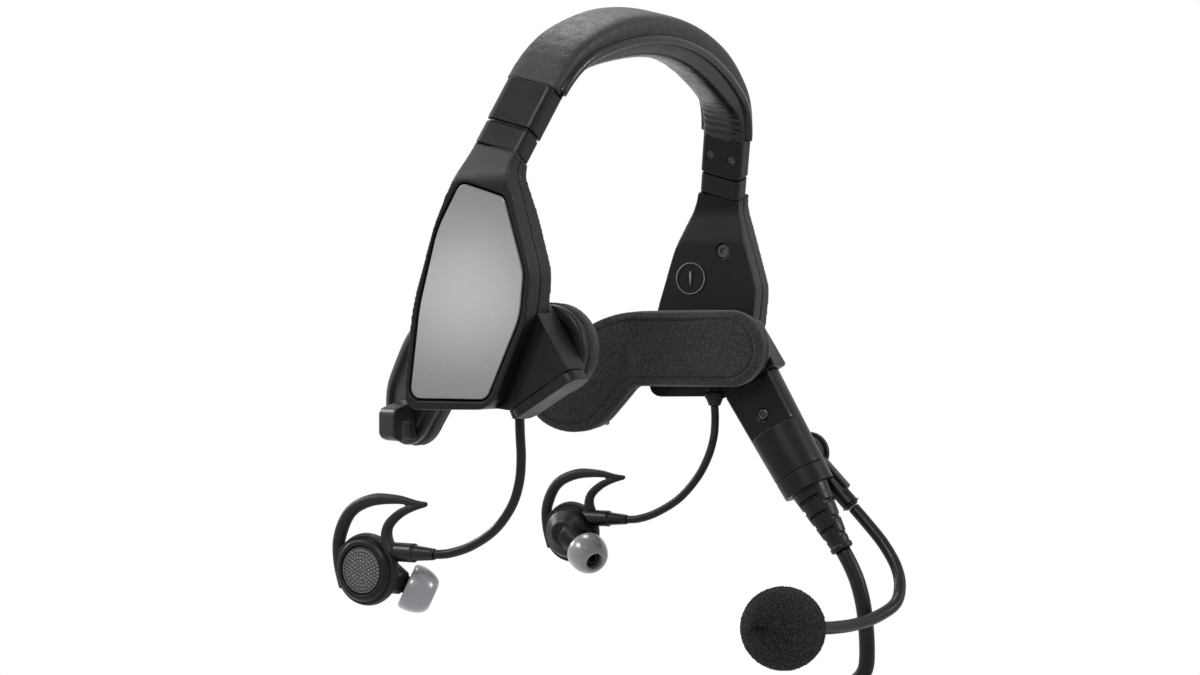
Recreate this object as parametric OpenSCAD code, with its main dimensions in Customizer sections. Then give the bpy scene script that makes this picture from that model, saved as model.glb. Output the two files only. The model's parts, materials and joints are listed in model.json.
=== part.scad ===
// Aviation headset with two temple pads, two in-ear buds on short cables, a boom microphone and
// a down cable. Millimetres. Z is up, the wearer faces -Y and +X is the wearer's left.
// The origin is the middle of the head, half way between the two pad faces.

/* [Headband] */
// Gap between the two pad faces at rest
head_gap = 108; // [100:1:116]
// Height of the top of the band's middle line above the collars, along the lean
band_rise = 31; // [28:0.5:34]
// Half distance between the collars
collar_x = 65.3; // [63:0.1:67]
// Forward lean of the band
lean = 17; // [12:1:20]
// Outward splay of the collars
splay = 24; // [20:1:26]
// Half angle of the flat arc over the top of the head
top_turn = 25; // [20:1:30]
// Width of the leather cover
band_w = 17; // [16.4:0.2:19]
// Thickness of the leather cover above the spring
cover_t = 6; // [5:0.2:7]
// Thickness of the inner cushion
cushion_t = 4.5; // [3:0.1:5]
// Width of the steel band spring
spring_w = 11; // [9:0.5:11.5]
// Thickness of the steel band spring
spring_t = 1; // [0.6:0.1:1.2]

/* [Collars and slides] */
// Width of a collar and of the slide below it
collar_w = 15.5; // [15:0.1:17]
// Thickness of a collar
collar_t = 8; // [7.6:0.1:9]
// Height of a collar
collar_h = 13.5; // [12:0.5:15]
// Length that each side pulls out
slide_travel = 18; // [10:1:18]
// Width of the steel tongue
tongue_w = 7; // [6:0.5:7.5]
// Thickness of the steel tongue
tongue_t = 1.2; // [1:0.1:1.4]

/* [Pods] */
// Outer face of a pod, from the middle of the head
pod_out = 79.2; // [78:0.2:81]
// Thickness of a pod
pod_t = 12; // [11:0.5:13]
// Wall of the pod shells
wall = 1.6; // [1.2:0.1:2]
// Thickness of the grey face plate
plate_t = 1.3; // [1:0.1:1.6]
// Tilt of the port from straight down
port_tilt = 31; // [28:1:34]

/* [Pads] */
// Height of a pad
pad_h = 26; // [24:0.5:28]
// Thickness of a pad's padding
pad_t = 6; // [4:0.5:6]
// Radius that the rear of a pad bends to, round the head
pad_bend = 85; // [75:5:100]
// Diameter of the stud that a pad turns on
stud_d = 8; // [6:0.5:9]

/* [Earbuds] */
// Diameter of an earbud's housing
bud_d = 19; // [18:0.5:20]
// Diameter of an ear cable
ear_cable_d = 2.7; // [2.4:0.1:3]
// Diameter of a silicone ear tip
tip_d = 14; // [12:0.5:15]

/* [Microphone and down cable] */
// Diameter of the cable module at the port
module_d = 20.4; // [19:0.2:21]
// Diameter of the cable module at its end
module_end_d = 17.8; // [17:0.2:18.6]
// Length of the cable module, end ring included
module_l = 41; // [38:1:44]
// Diameter of the pin that the boom turns on
pivot_d = 4; // [3:0.5:5]
// Diameter of the gooseneck
neck_d = 4; // [3.6:0.1:4.4]
// Length of the foam windscreen
screen_l = 27; // [24:1:30]
// Diameter of the foam windscreen
screen_d = 24.6; // [22:0.2:27]
// Diameter of the down cable
cable_d = 5.2; // [4.8:0.1:5.4]
// Diameter of the plug's finger
finger_d = 7.1; // [6.3:0.05:7.2]

/* [Hidden] */
$fn = 64;

// Clearances
soft_gap = 0.3;      // between a soft solid and what it sits beside
fit_gap = 0.05;      // radial, round a pin, a screw or a pressed piece
slide_gap = 0.15;    // each side of a sliding tongue
seam = 0.1;          // between two shells that close on each other
groove = 0.8;        // shadow gap between a collar and its slide

// Collars and band
collar_y = -12.7;
collar_z = 63;
half_h = collar_h / 2;
spring_x = -2.1;                                  // middle of the spring below the band's line
cover_in = spring_x + spring_t / 2 + soft_gap;    // inner face of the cover over the spring
cushion_top = spring_x - spring_t / 2 - 0.4;
spring_end = 9.5;                                 // how far the spring reaches into a collar
collar_screw_y = 4.2;
tongue_x = 0.6;                                   // middle of the tongue
tongue_grip = 6;                                  // tongue left in the collar when pulled out
cap_h = 7;
cap_top = -half_h - groove;
cap_bottom = cap_top - cap_h;
tongue_foot = 9;                                  // tongue below the slide cap
tongue_head = slide_travel + tongue_grip;         // tongue above the slide cap
// The two arc radii follow from the rise and the half span of the band
run = collar_x - half_h * sin(splay);
rise = band_rise - half_h * cos(splay);
run_a = sin(top_turn);
run_b = cos(splay) - sin(top_turn);
rise_a = 1 - cos(top_turn);
rise_b = cos(top_turn) - sin(splay);
arc_det = run_a * rise_b - run_b * rise_a;
top_r = (run * rise_b - rise * run_b) / arc_det;
shoulder_r = (rise * run_a - run * rise_a) / arc_det;
top_c = band_rise - top_r;
shoulder_c = [(top_r - shoulder_r) * sin(top_turn), top_c + (top_r - shoulder_r) * cos(top_turn)];

arc_lap = 0.6;       // the shoulder arcs run this many degrees into the top arc
arc_grow = 1.004;    // and are this much fuller, so that the arcs join in one solid

// Pods, as outlines in Y and Z, anticlockwise, each point with its corner radius
pod_in = pod_out - pod_t;
split_x = pod_out - pod_t / 2;
pod_line = [[-20.5, 62, 0], [-15.2, 45, 12], [-23, 17, 14], [-21.5, 4, 10], [-12, -17, 4],
    [-8, -20, 6], [18.5, -20.5, 4.5], [15.5, 8, 60], [8, 31, 40], [-1.2, 50, 30], [-5.2, 62, 0]];
plate_line = [[-14.6, 37.4, 3], [-20.8, 17, 12], [-19.6, 5, 20], [-9, -17.2, 3.5],
    [16.2, -17.2, 3], [13, 8, 60], [7, 29.5, 30], [-0.6, 42, 3]];
neck_slope = sin(splay) / (cos(splay) * cos(lean));
neck_mid = [collar_x - cap_bottom * sin(splay), collar_z + cap_bottom * cos(splay) * cos(lean)];
split_z = neck_mid.y - (split_x - neck_mid.x) / neck_slope;
side_half = collar_t / 2 / cos(splay);
function neck_x(z, off) = neck_mid.x + off + (neck_mid.y - z) * neck_slope;
pod_front = [[pod_in, -30, 0], [pod_out, -30, 0],
    [pod_out, neck_mid.y - (pod_out - side_half - neck_mid.x) / neck_slope, 14],
    [neck_x(62, side_half), 62, 0], [neck_x(62, -side_half), 62, 0],
    [neck_x(45, -side_half), 45, 10], [pod_in, 33, 14]];
pod_screw = [-10.5, 30];
low_screw = [8, -14];
screw_r = 1.1;
screw_head_r = 2.3;

// Port housing and module
port_x = 68.6;
port_at = [port_x, -22.2, -14.6];
port_w = 22;
port_half_x = 5;
port_corner = 3;
fin_in = port_x - port_half_x;
fin_out = port_x + port_half_x;
stub_w = 14;
stub_half_x = 3;
stub_l = 5;
cover_l = 3;
module_off = 1.5;
ring_l = 6.5;
saddle_l = 18;
saddle_t = 1.4;
boot_l = 23;
boot_d1 = 13;
boot_d2 = 7.6;
pivot_along = 28;
boom_tilt = 44;
boom_l = 24.5;
arm_t = 4;
boss_r = 6.2;
boss_x = port_x + module_d / 2 + 0.4;
arm_x = boss_x + soft_gap + arm_t / 2;

// Pads
pad_face = head_gap / 2;
pad_flat_y = -5;
pad_z = -3.5;
pad_front_y = -18;
pad_knee_y = 23;
lobe_at = [36, -19.5];
lobe_r = pad_h / 2 - 0.5;
carrier_t = 3;
carrier_in = pad_face + pad_t + soft_gap;
carrier_out = carrier_in + carrier_t;
stud_y = -1;
stud_in = 1.6;                     // how far the stud enters the pod
clip_at = [33, -24];
pad_sweep = 44;                     // angle that the bent rear is cut from
pad_steps = 20;

// Earbuds
grommet_at = [62.8, -9.6, -20.6];
grommet_boss = 2.2;
bud_at = [58.5, 45, -68.5];
nozzle_turn = 57.9;                // the nozzle's swing from straight in to forward
nozzle_drop = 24.6;                // the nozzle's fall
nozzle_r = 2.6;
tip_start = 11.5;
tip_l = 9;
bud_out = 5;
bud_boot_l = 13;
boot_at = [58.5, 22, -63];
ear_route = [[62.8, -9.6, -23.6], [62.8, -9.8, -28], [62, -9.6, -34], [60.5, -8, -41],
    [59, -4.5, -48], [58, 1.8, -55], [57.5, 10, -60], [58, 17, -62.4], [58.5, 21.9, -63]];

// Gooseneck, down cable and its tail; the gooseneck starts at the end of the boom's arm
boom_dir = [0, -sin(boom_tilt), -cos(boom_tilt)];
pivot_at = port_at + module_off * [0, cos(port_tilt), -sin(port_tilt)]
    - pivot_along * [0, sin(port_tilt), cos(port_tilt)];
boom_tip = [arm_x, pivot_at.y, pivot_at.z] + (boom_l + 0.05) * boom_dir;
neck_route = concat([boom_tip, boom_tip + 7 * boom_dir], [[81, -63.5, -69], [79.2, -68.5, -76],
    [76, -71, -82], [70, -71.5, -87], [60, -69, -90], [48, -66.5, -91], [36, -64.5, -90.5],
    [24, -63, -89.2], [17, -62, -88.4]]);
screen_at = [3.5, -60.4, -86.6];
cable_route = [[68.6, -53.8, -70.3], [68.6, -56.4, -74.8], [68.6, -59, -80.5],
    [68.6, -61, -88], [68.6, -62, -96], [68.6, -62.3, -104], [68.6, -62.3, -118]];
hank_top = -118;
hank_run = 70;
hank_turn_d = 31;
hank_rows = 3;
hank_w = hank_turn_d + 2 * cable_d;
hank_t = hank_rows * cable_d;
hank_mid = [68.6, -62.3, hank_top - hank_w / 2 - hank_run / 2];
tail_route = [[68.6, -83, -146], [68.6, -88, -146], [68.6, -94.5, -147.5],
    [68.6, -99, -151], [68.6, -100, -156], [68.6, -100, -160]];
plug_at = [68.6, -100, -160.05];
handle_d = 14;
handle_l = 42;
finger_l = 26;

// ---- Shapes that repeat ----

// Points of a corner at b, between a and c, rounded to radius r in n steps
function corner(a, b, c, r, n = 5) = r <= 0 ? [b] :
    let (u = (a - b) / norm(a - b), v = (c - b) / norm(c - b), half = acos(u * v) / 2,
        q = b + (u + v) / norm(u + v) * r / sin(half), p = b + u * r / tan(half) - q,
        e = b + v * r / tan(half) - q, a0 = atan2(p.y, p.x),
        turn = (atan2(e.y, e.x) - a0 + 540) % 360 - 180)
    [for (i = [0 : n]) q + r * [cos(a0 + turn * i / n), sin(a0 + turn * i / n)]];
function wrap(p, i) = let (q = p[(i + len(p)) % len(p)]) [q.x, q.y];
function rounded(p, n = 5) = [for (i = [0 : len(p) - 1])
    each corner(wrap(p, i - 1), wrap(p, i), wrap(p, i + 1), p[i][2], n)];
// Inward normal of the side from a to b of an anticlockwise outline
function inward(a, b) = [a.y - b.y, b.x - a.x] / norm(b - a);
// The outline moved inwards by d
function inset(p, d) = [for (i = [0 : len(p) - 1])
    let (n1 = inward(wrap(p, i - 1), wrap(p, i)), n2 = inward(wrap(p, i), wrap(p, i + 1)),
        q = wrap(p, i) + (n1 + n2) / (1 + n1 * n2) * d)
    [q.x, q.y, max(p[i][2] - d, 0)]];
function box_line(w, h, r) = [[-w / 2, -h / 2, r], [w / 2, -h / 2, r], [w / 2, h / 2, r],
    [-w / 2, h / 2, r]];

// An outline in Y and Z, carried along X from x0 to x1
module slab(p, x0, x1) {
    translate([x0, 0, 0]) rotate([90, 0, 90]) linear_extrude(x1 - x0) polygon(rounded(p, 8));
}
// An outline in X and Z, carried along Y
module front_slab(p) {
    translate([0, 80, 0]) rotate([90, 0, 0]) linear_extrude(160) polygon(rounded(p));
}
// A plate with rounded corners in X and Y, from z0 to z1
module bar(w, h, r, z0, z1) {
    translate([0, 0, z0]) linear_extrude(z1 - z0) polygon(rounded(box_line(w, h, r)));
}
// A cylinder along X from x0 to x1
module rod_x(r, x0, x1) {
    translate([x0, 0, 0]) rotate([0, 90, 0]) cylinder(r = r, h = x1 - x0);
}
module at_collar() {
    translate([0, collar_y, collar_z]) rotate([lean, 0, 0]) translate([collar_x, 0, 0])
        rotate([0, -splay, 0]) children();
}
module at_port() {
    translate(port_at) rotate([-port_tilt, 0, 0]) children();
}
module at_module() {
    at_port() translate([0, module_off, 0]) children();
}
module at_bud() {
    translate(bud_at) children();
}
module at_nozzle() {
    at_bud() rotate([0, 0, nozzle_turn]) rotate([0, -90 - nozzle_drop, 0]) children();
}
module right() {
    mirror([1, 0, 0]) children();
}

// A point of a smooth curve through p, at the share t of the stretch from p[i] to p[i + 1]
function curve(p, i, t) = let (a = p[max(i - 1, 0)], b = p[i], c = p[i + 1],
        d = p[min(i + 2, len(p) - 1)])
    b + (c - a) * t / 2 + (2 * a - 5 * b + 4 * c - d) * t * t / 2
        + (3 * b - a - 3 * c + d) * t * t * t / 2;
function smooth(p, n) = concat([for (i = [0 : len(p) - 2]) for (k = [0 : n - 1])
    curve(p, i, k / n)], [p[len(p) - 1]]);
function unit(v) = v / norm(v);
// Direction of the curve at each of its points
function heading(p, i) = unit(p[min(i + 1, len(p) - 1)] - p[max(i - 1, 0)]);
// A frame carried along the curve, so that the tube does not twist
function carry(side, dir) = unit(side - (side * dir) * dir);
function frames(p, i, side) = i >= len(p) ? [] :
    let (now = carry(side, heading(p, i))) concat([now], frames(p, i + 1, now));
// A tube of radius r and n sides, swept along the points p
module tube(p, r, n) {
    side = frames(p, 0, [1, 0.2, 0]);
    points = [for (i = [0 : len(p) - 1]) for (k = [0 : n - 1])
        p[i] + r * (cos(360 * k / n) * side[i]
            + sin(360 * k / n) * cross(heading(p, i), side[i]))];
    last = len(p) - 1;
    faces = concat([[for (k = [0 : n - 1]) k]],
        [for (i = [0 : last - 1]) for (k = [0 : n - 1])
            [i * n + k, (i + 1) * n + k, (i + 1) * n + (k + 1) % n, i * n + (k + 1) % n]],
        [[for (k = [n - 1 : -1 : 0]) last * n + k]]);
    polyhedron(points, faces, convexity = 6);
}

// ---- Headband ----

// A section, x outwards and y across the band, carried over the head
module band_sweep() {
    translate([0, collar_y, collar_z]) rotate([lean, 0, 0]) {
        translate([0, 0, top_c]) rotate([90, 0, 0]) rotate([0, 0, 90 - top_turn])
            rotate_extrude(angle = 2 * top_turn, $fn = 200) translate([top_r, 0]) children();
        for (m = [0, 1]) mirror([m, 0, 0])
            translate([shoulder_c.x, 0, shoulder_c.y]) rotate([90, 0, 0]) rotate([0, 0, splay])
                rotate_extrude(angle = 90 - top_turn - splay + arc_lap, $fn = 120)
                    translate([shoulder_r, 0]) scale([arc_grow, arc_grow]) children();
    }
}
// Room for the tongue above each collar
module tongue_room() {
    for (m = [0, 1]) mirror([m, 0, 0]) at_collar()
        translate([tongue_x, 0, half_h - 1])
            bar(tongue_t + 0.8, tongue_w + 1.2, 0.2, 0, cap_top + tongue_head - half_h + 2);
}
module headband_cover() {
    edge = band_w / 2;
    channel = spring_w / 2 + soft_gap;
    lip = spring_x - spring_t / 2 - 0.1;
    color("#232323") difference() {
        band_sweep() polygon(rounded([[lip, -edge, 0.8], [cover_t * 0.6, -edge, 2.5],
            [cover_t, 0, 24], [cover_t * 0.6, edge, 2.5], [lip, edge, 0.8], [lip, channel, 0],
            [cover_in, channel, 0], [cover_in, -channel, 0], [lip, -channel, 0]]));
        tongue_room();
    }
}
module headband_cushion() {
    edge = band_w / 2 - 0.4;
    low = cushion_top - cushion_t;
    color("#1c1c1c") difference() {
        band_sweep() polygon(rounded([[low, -edge + 2.5, 3], [cushion_top, -edge, 1],
            [cushion_top, edge, 1], [low, edge - 2.5, 3]]));
        for (m = [0, 1]) mirror([m, 0, 0]) at_collar()
            translate([-20, -20, half_h - 5]) cube([40, 40, 5 + soft_gap]);
    }
}
module headband_spring() {
    color("#8a8d90") difference() {
        union() {
            band_sweep() translate([spring_x, 0]) square([spring_t, spring_w], center = true);
            for (m = [0, 1]) mirror([m, 0, 0]) at_collar()
                translate([spring_x - spring_t / 2, -spring_w / 2, half_h - spring_end])
                    cube([spring_t, spring_w, spring_end + 0.01]);
        }
        for (m = [0, 1]) mirror([m, 0, 0]) at_collar() for (s = [-1, 1])
            translate([0, s * collar_screw_y, 0]) rod_x(0.8 + fit_gap, -6, 0);
    }
}
module collar() {
    color("#1e1e1e") at_collar() difference() {
        bar(collar_t, collar_w, 2, -half_h, half_h);
        translate([tongue_x, 0, 0])
            bar(tongue_t + 2 * slide_gap, tongue_w + 2 * slide_gap, 0.2, -half_h - 1, half_h + 1);
        translate([spring_x, 0, 0]) bar(spring_t + 2 * fit_gap, spring_w + 2 * fit_gap, 0,
            half_h - spring_end - 0.2, half_h + 1);
        for (s = [-1, 1]) translate([0, s * collar_screw_y, 0]) {
            rod_x(0.8 + fit_gap, -6, -0.9);
            rod_x(1.5, -6, -collar_t / 2 + 1);
        }
    }
}
module collar_screws() {
    color("#141414") for (m = [0, 1]) mirror([m, 0, 0]) at_collar() for (s = [-1, 1])
        translate([0, s * collar_screw_y, 0]) difference() {
            union() {
                rod_x(0.8, -3, -1);
                rod_x(1.4, -collar_t / 2 + 0.3, -collar_t / 2 + 0.95);
            }
            translate([-collar_t / 2, 0, 0]) rotate([0, 90, 0])
                cylinder(r = 0.7, h = 0.7, $fn = 6);
        }
}

// ---- Slides and pods ----

module tongue() {
    color("#9a9da0") at_collar() translate([tongue_x, 0, 0])
        bar(tongue_t, tongue_w, 0.5, cap_bottom - tongue_foot, cap_top + tongue_head);
}
module tongue_slot(gap) {
    at_collar() translate([tongue_x, 0, 0]) bar(tongue_t + 2 * gap, tongue_w + 2 * gap, 0.2,
        cap_bottom - tongue_foot - gap, cap_top + 1);
}
module slider_cap() {
    color("#202020") difference() {
        at_collar() bar(collar_t - 0.4, collar_w - 0.4, 2, cap_bottom, cap_top);
        tongue_slot(fit_gap);
    }
}
// The closed form of a pod and its neck, moved inwards by d
module pod_form(d) {
    difference() {
        intersection() {
            slab(inset(pod_line, d), pod_in - 20, pod_out + 20);
            front_slab(inset(pod_front, d));
        }
        at_collar() translate([-20, -20, cap_bottom - seam]) cube([40, 40, 40]);
    }
}
module pod_hollow() {
    intersection() {
        slab(inset(pod_line, wall), pod_in + wall, pod_out - wall - plate_t);
        translate([pod_in, -60, -60]) cube([pod_t, 120, 100]);
    }
}
// The outer side of the seam between the two shells
module outer_half(gap) {
    front_slab([[split_x + gap, -40, 0], [140, -40, 0], [140, 80, 0],
        [split_x + gap - (80 - split_z) * neck_slope, 80, 0], [split_x + gap, split_z, 0]]);
}
module outer_shell() {
    color("#1b1b1b") difference() {
        intersection() {
            pod_form(0);
            outer_half(seam / 2);
        }
        pod_hollow();
        tongue_slot(fit_gap);
        slab(inset(plate_line, -0.6), pod_out - plate_t - 0.1, pod_out + 1);
        for (p = [pod_screw, low_screw]) translate([0, p.x, p.y])
            rod_x(screw_r + fit_gap, split_x - 1, split_x + 4);
        fin_cut();
    }
    color("#1b1b1b") for (p = [pod_screw, low_screw]) translate([0, p.x, p.y])
        difference() {
            rod_x(screw_r + 1.2, split_x + seam / 2, pod_out - plate_t - wall);
            rod_x(screw_r + fit_gap, split_x - 1, split_x + 4);
        }
}
module inner_shell() {
    color("#191919") difference() {
        union() {
            difference() {
                pod_form(0);
                outer_half(-seam / 2);
                pod_hollow();
            }
            for (p = [pod_screw, low_screw]) translate([0, p.x, p.y])
                rod_x(screw_head_r + 1, pod_in, split_x - seam / 2);
            translate([0, stud_y, pad_z]) rod_x(stud_d / 2 + 1.5, pod_in, split_x - 1);
        }
        for (p = [pod_screw, low_screw]) translate([0, p.x, p.y]) {
            rod_x(screw_r + fit_gap, pod_in - 1, split_x + 1);
            rod_x(screw_head_r + 0.2, pod_in - 1, pod_in + 2);
        }
        translate([0, stud_y, pad_z])
            rod_x(stud_d / 2 + fit_gap, pod_in - 1, pod_in + stud_in + 0.4);
        tongue_slot(fit_gap);
        fin_cut();
    }
}
module face_plate() {
    color("#77787a") slab(plate_line, pod_out - plate_t, pod_out - 0.1);
}
module pod_screws() {
    color("#101010") for (p = [pod_screw, low_screw]) translate([0, p.x, p.y])
        difference() {
            union() {
                rod_x(screw_r, pod_in + 1, split_x + 3.8);
                rod_x(screw_head_r, pod_in + 0.5, pod_in + 1.95);
            }
            rotate([90, 0, 0]) translate([pod_in, 0, 0]) rotate([0, 90, 0])
                cylinder(r = 1.2, h = 1.3, $fn = 6);
        }
}

// ---- Port housing ----

// Outline of the wedge, in Y and Z; the port closes its lower front side
port_f = [cos(port_tilt), -sin(port_tilt)];
port_front = [port_at.y, port_at.z] - port_f * port_w / 2;
port_rear = [port_at.y, port_at.z] + port_f * port_w / 2;
fin_line = [[-20, 9.5, 3], [port_front.x, port_front.y, 1], [port_rear.x, port_rear.y, 1],
    [-6.5, -19.6, 1], [-7.5, 4, 3]];
// What the housing takes out of the shells: the cable's way from the port into the pod
module fin_cut() {
    translate([0, -13, -12]) rod_x(2, pod_in - 1, pod_in + wall + 1);
}
module port_housing() {
    color("#242424") difference() {
        union() {
            slab(fin_line, fin_in, fin_out);
            translate(grommet_at) cylinder(r = 3.3, h = grommet_boss);
        }
        slab(inset(pod_line, -seam), pod_in - seam, pod_out);
        translate([0, stud_y, pad_z]) rod_x(stud_d / 2 + 3.5, fin_in - 1, pod_in);
        at_port() bar(2 * stub_half_x + 2 * fit_gap, stub_w + 2 * fit_gap, 1, -1, stub_l + 0.5);
        translate(grommet_at - [0, 0, 1]) cylinder(r = 2 + fit_gap, h = 6);
    }
}
module port_cover() {
    color("#2a2a2a") at_port() {
        bar(2 * port_half_x, port_w, port_corner, -cover_l, -0.05);
        bar(2 * stub_half_x, stub_w, 1, -1, stub_l);
    }
}
module grommet() {
    color("#151515") translate(grommet_at) {
        translate([0, 0, -2.4]) cylinder(r1 = ear_cable_d / 2 + 0.6, r2 = 2.9, h = 2.4);
        translate([0, 0, -0.01]) cylinder(r = 2, h = grommet_boss);
    }
}

// ---- Pads ----

function arc(c, r, from, to, n) = [for (i = [0 : n])
    c + r * [cos(from + (to - from) * i / n), sin(from + (to - from) * i / n)]];
// The pad's outline, grown by g, in Y and Z, anticlockwise: a bar that bends down into a lobe
function pad_line(g) = let (half = pad_h / 2 + g, r = lobe_r + g, front = [pad_front_y, pad_z],
        knee = [pad_knee_y, pad_z], away = lobe_at - knee, turn = atan2(away.y, away.x),
        low = lobe_at + r * [sin(turn), -cos(turn)],
        hollow = low + away * (pad_z - half - low.y) / away.y)
    concat(arc(front, half, 90, 270, 16), corner(front - [0, half], hollow, low, 12, 6),
        arc(lobe_at, r, turn - 90, turn + 90, 16), arc(knee, half, turn + 90, 90, 6));
// A strip in X and Y, straight in front and bent round the head behind, at depth t
function pad_arc(t) =
    arc([pad_face - pad_bend, pad_flat_y], pad_bend + t, 0, pad_sweep, pad_steps);
function reversed(p) = [for (i = [len(p) - 1 : -1 : 0]) p[i]];
module pad_layer(a, b, g) {
    intersection() {
        rotate([90, 0, 90]) linear_extrude(90) polygon(pad_line(g));
        translate([0, 0, -60]) linear_extrude(120) polygon(concat([[pad_face + a, -60],
            [pad_face + b, -60]], pad_arc(b), reversed(pad_arc(a))));
    }
}
module pad_cushion() {
    color("#171717") pad_layer(0, pad_t, 0);
}
module pad_carrier() {
    back = pad_t + soft_gap;
    color("#262626") union() {
        pad_layer(back, back + carrier_t, -0.6);
        translate([0, stud_y, pad_z]) {
            rod_x(stud_d / 2 + 2.5, carrier_out - 1, pod_in - 0.5);
            rod_x(stud_d / 2, carrier_out - 1, pod_in + stud_in);
        }
    }
}
// A small hook on the outside of the rear lobe
module cable_clip() {
    depth = pad_bend + pad_t + soft_gap + carrier_t;
    turn = asin((clip_at.x - pad_flat_y) / depth);
    color("#202020") translate([pad_face - pad_bend, pad_flat_y, clip_at.y])
        rotate([0, 0, turn]) translate([depth, 0, 0]) difference() {
            translate([0.1, 0, 0]) rotate([90, 0, 0]) translate([0, 0, -4.5])
                linear_extrude(9) polygon(rounded([[0, -5.5, 0], [4, -7, 2], [8, -5.5, 2],
                    [8, 3, 2], [0, 5.5, 0]]));
            translate([3.6, 0, -9]) bar(3.2, 20, 0.5, 0, 8.5);
        }
}

// ---- Earbuds ----

module ear_cable() {
    color("#1a1a1a") tube(smooth(ear_route, 3), ear_cable_d / 2, 8);
}
module bud_profile(points) {
    at_bud() rotate([0, 90, 0]) rotate_extrude() polygon(points);
}
module bud_housing() {
    r = bud_d / 2;
    cup = r - 2.2;
    color("#1d1d1d") difference() {
        union() {
            bud_profile([[0, -6], [4, -6], [8, -3.2], [r, -0.5], [r, bud_out - 1.3],
                [r - 0.9, bud_out - 0.2], [cup, bud_out], [0, bud_out]]);
            at_nozzle() translate([0, 0, 3]) cylinder(r1 = 6, r2 = 3.4, h = tip_start - 3.5);
            at_nozzle() cylinder(r = nozzle_r, h = tip_start + tip_l - 2);
        }
        at_bud() {
            rod_x(cup, bud_out - 1, bud_out + 1);
            rod_x(cup - 1, -1.5, bud_out);
        }
        at_nozzle() cylinder(r = 1.3, h = 40);
    }
}
module bud_grille() {
    color("#3a3a3a") at_bud() rod_x(bud_d / 2 - 2.2 - fit_gap, bud_out - 0.95, bud_out - 0.15);
}
module bud_driver() {
    color("#6b6b6b") at_bud() rod_x(bud_d / 2 - 3.2 - fit_gap, 0.5, bud_out - 1.05);
}
module bud_boot() {
    color("#181818") difference() {
        translate(boot_at) rotate([-90, 0, 0]) {
            cylinder(r1 = 1.7, r2 = 2.3, h = 7);
            translate([0, 0, 7]) cylinder(r = 2.8, h = bud_boot_l - 7 + 4);
        }
        bud_profile([[0, -8], [bud_d / 2 + fit_gap, -8], [bud_d / 2 + fit_gap, 8], [0, 8]]);
    }
}
module ear_wing() {
    outer = [[-12, 17.5, 3], [-21.5, 20.5, 1], [-8, 22, 14], [7, 19.5, 12], [11, 4, 8],
        [9, 0, 1], [-7, 6, 1]];
    hole = [[-9.5, 17.3, 0.8], [-15.5, 18.9, 0.5], [-6, 19.2, 10], [4.8, 17, 7], [7.6, 8, 1.5],
        [-3, 11.5, 4]];
    color("#151515") at_bud() difference() {
        union() {
            rod_x(bud_d / 2 + 1.1, -0.3, 3.3);
            difference() {
                slab(outer, 0, 2.9);
                slab(hole, -1, 4);
            }
        }
        rod_x(bud_d / 2 + soft_gap, -3, 6);
        translate([0, -bud_d / 2 - 2, boot_at.z - bud_at.z]) rotate([-90, 0, 0])
            translate([0, 0, -9]) cylinder(r = 2.8 + soft_gap, h = 18);
    }
}
module ear_tip() {
    r = tip_d / 2;
    bore = nozzle_r + soft_gap;
    color([0.55, 0.56, 0.58, 0.8]) at_nozzle() translate([0, 0, tip_start])
        rotate_extrude() polygon([[bore, 0.6], [r - 1, 0], [r, 2], [r - 0.6, 5],
            [r - 2, tip_l - 1.2], [bore + 1, tip_l], [bore, tip_l]]);
}

// ---- Cable module ----

function module_r(z) = (module_d + (module_end_d - module_d) * z / module_l) / 2;
module saddle_cut(x) {
    at_module() translate([-30, -30, -saddle_l]) cube([30 + x - port_x, 60, 60]);
}
module module_tube() {
    body_l = module_l - ring_l;
    color("#1f1f1f") difference() {
        union() {
            at_module() mirror([0, 0, 1])
                cylinder(r1 = module_r(0), r2 = module_r(body_l), h = body_l);
            at_module() translate([0, 0, -pivot_along]) rod_x(boss_r, 4, boss_x - port_x);
        }
        at_module() mirror([0, 0, 1]) translate([0, 0, 3])
            cylinder(r1 = module_r(0) - 2, r2 = module_r(body_l) - 2, h = body_l);
        saddle_cut(fin_in + saddle_t + 0.05);
        at_module() translate([0, 0, -pivot_along])
            rod_x(pivot_d / 2 + fit_gap, 2, boss_x - port_x + 1);
    }
    color("#1f1f1f") at_port() bar(2 * stub_half_x, stub_w, 1, -2, stub_l);
}
// Flat dark cover over the cut side, with a recess for its screw
module module_saddle() {
    color("#121212") difference() {
        intersection() {
            at_module() mirror([0, 0, 1]) cylinder(r1 = module_r(0) - 0.1,
                r2 = module_r(saddle_l) - 0.1, h = saddle_l - 0.1);
            saddle_cut(fin_in + saddle_t);
            translate([fin_in, -100, -100]) cube([20, 200, 200]);
        }
        at_module() translate([fin_in - port_x, 0, -12]) rod_x(2.2, -1, 0.7);
    }
}
module module_end_ring() {
    color("#232323") at_module() translate([0, 0, -module_l]) difference() {
        cylinder(r1 = module_r(module_l), r2 = module_r(module_l - ring_l), h = ring_l - 0.05);
        translate([0, 0, -1]) cylinder(r = 5.2 + fit_gap, h = ring_l + 2);
    }
}
module cable_boot() {
    color("#161616") at_module() translate([0, 0, -module_l]) difference() {
        union() {
            translate([0, 0, -0.2]) cylinder(r = 5.2, h = ring_l - 0.5);
            mirror([0, 0, 1]) translate([0, 0, 0.1])
                cylinder(r1 = boot_d1 / 2, r2 = boot_d2 / 2 - 0.4, h = boot_l - 1.6);
            translate([0, 0, -boot_l]) cylinder(r = boot_d2 / 2, h = 2);
        }
    }
}

// ---- Boom microphone ----

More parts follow.
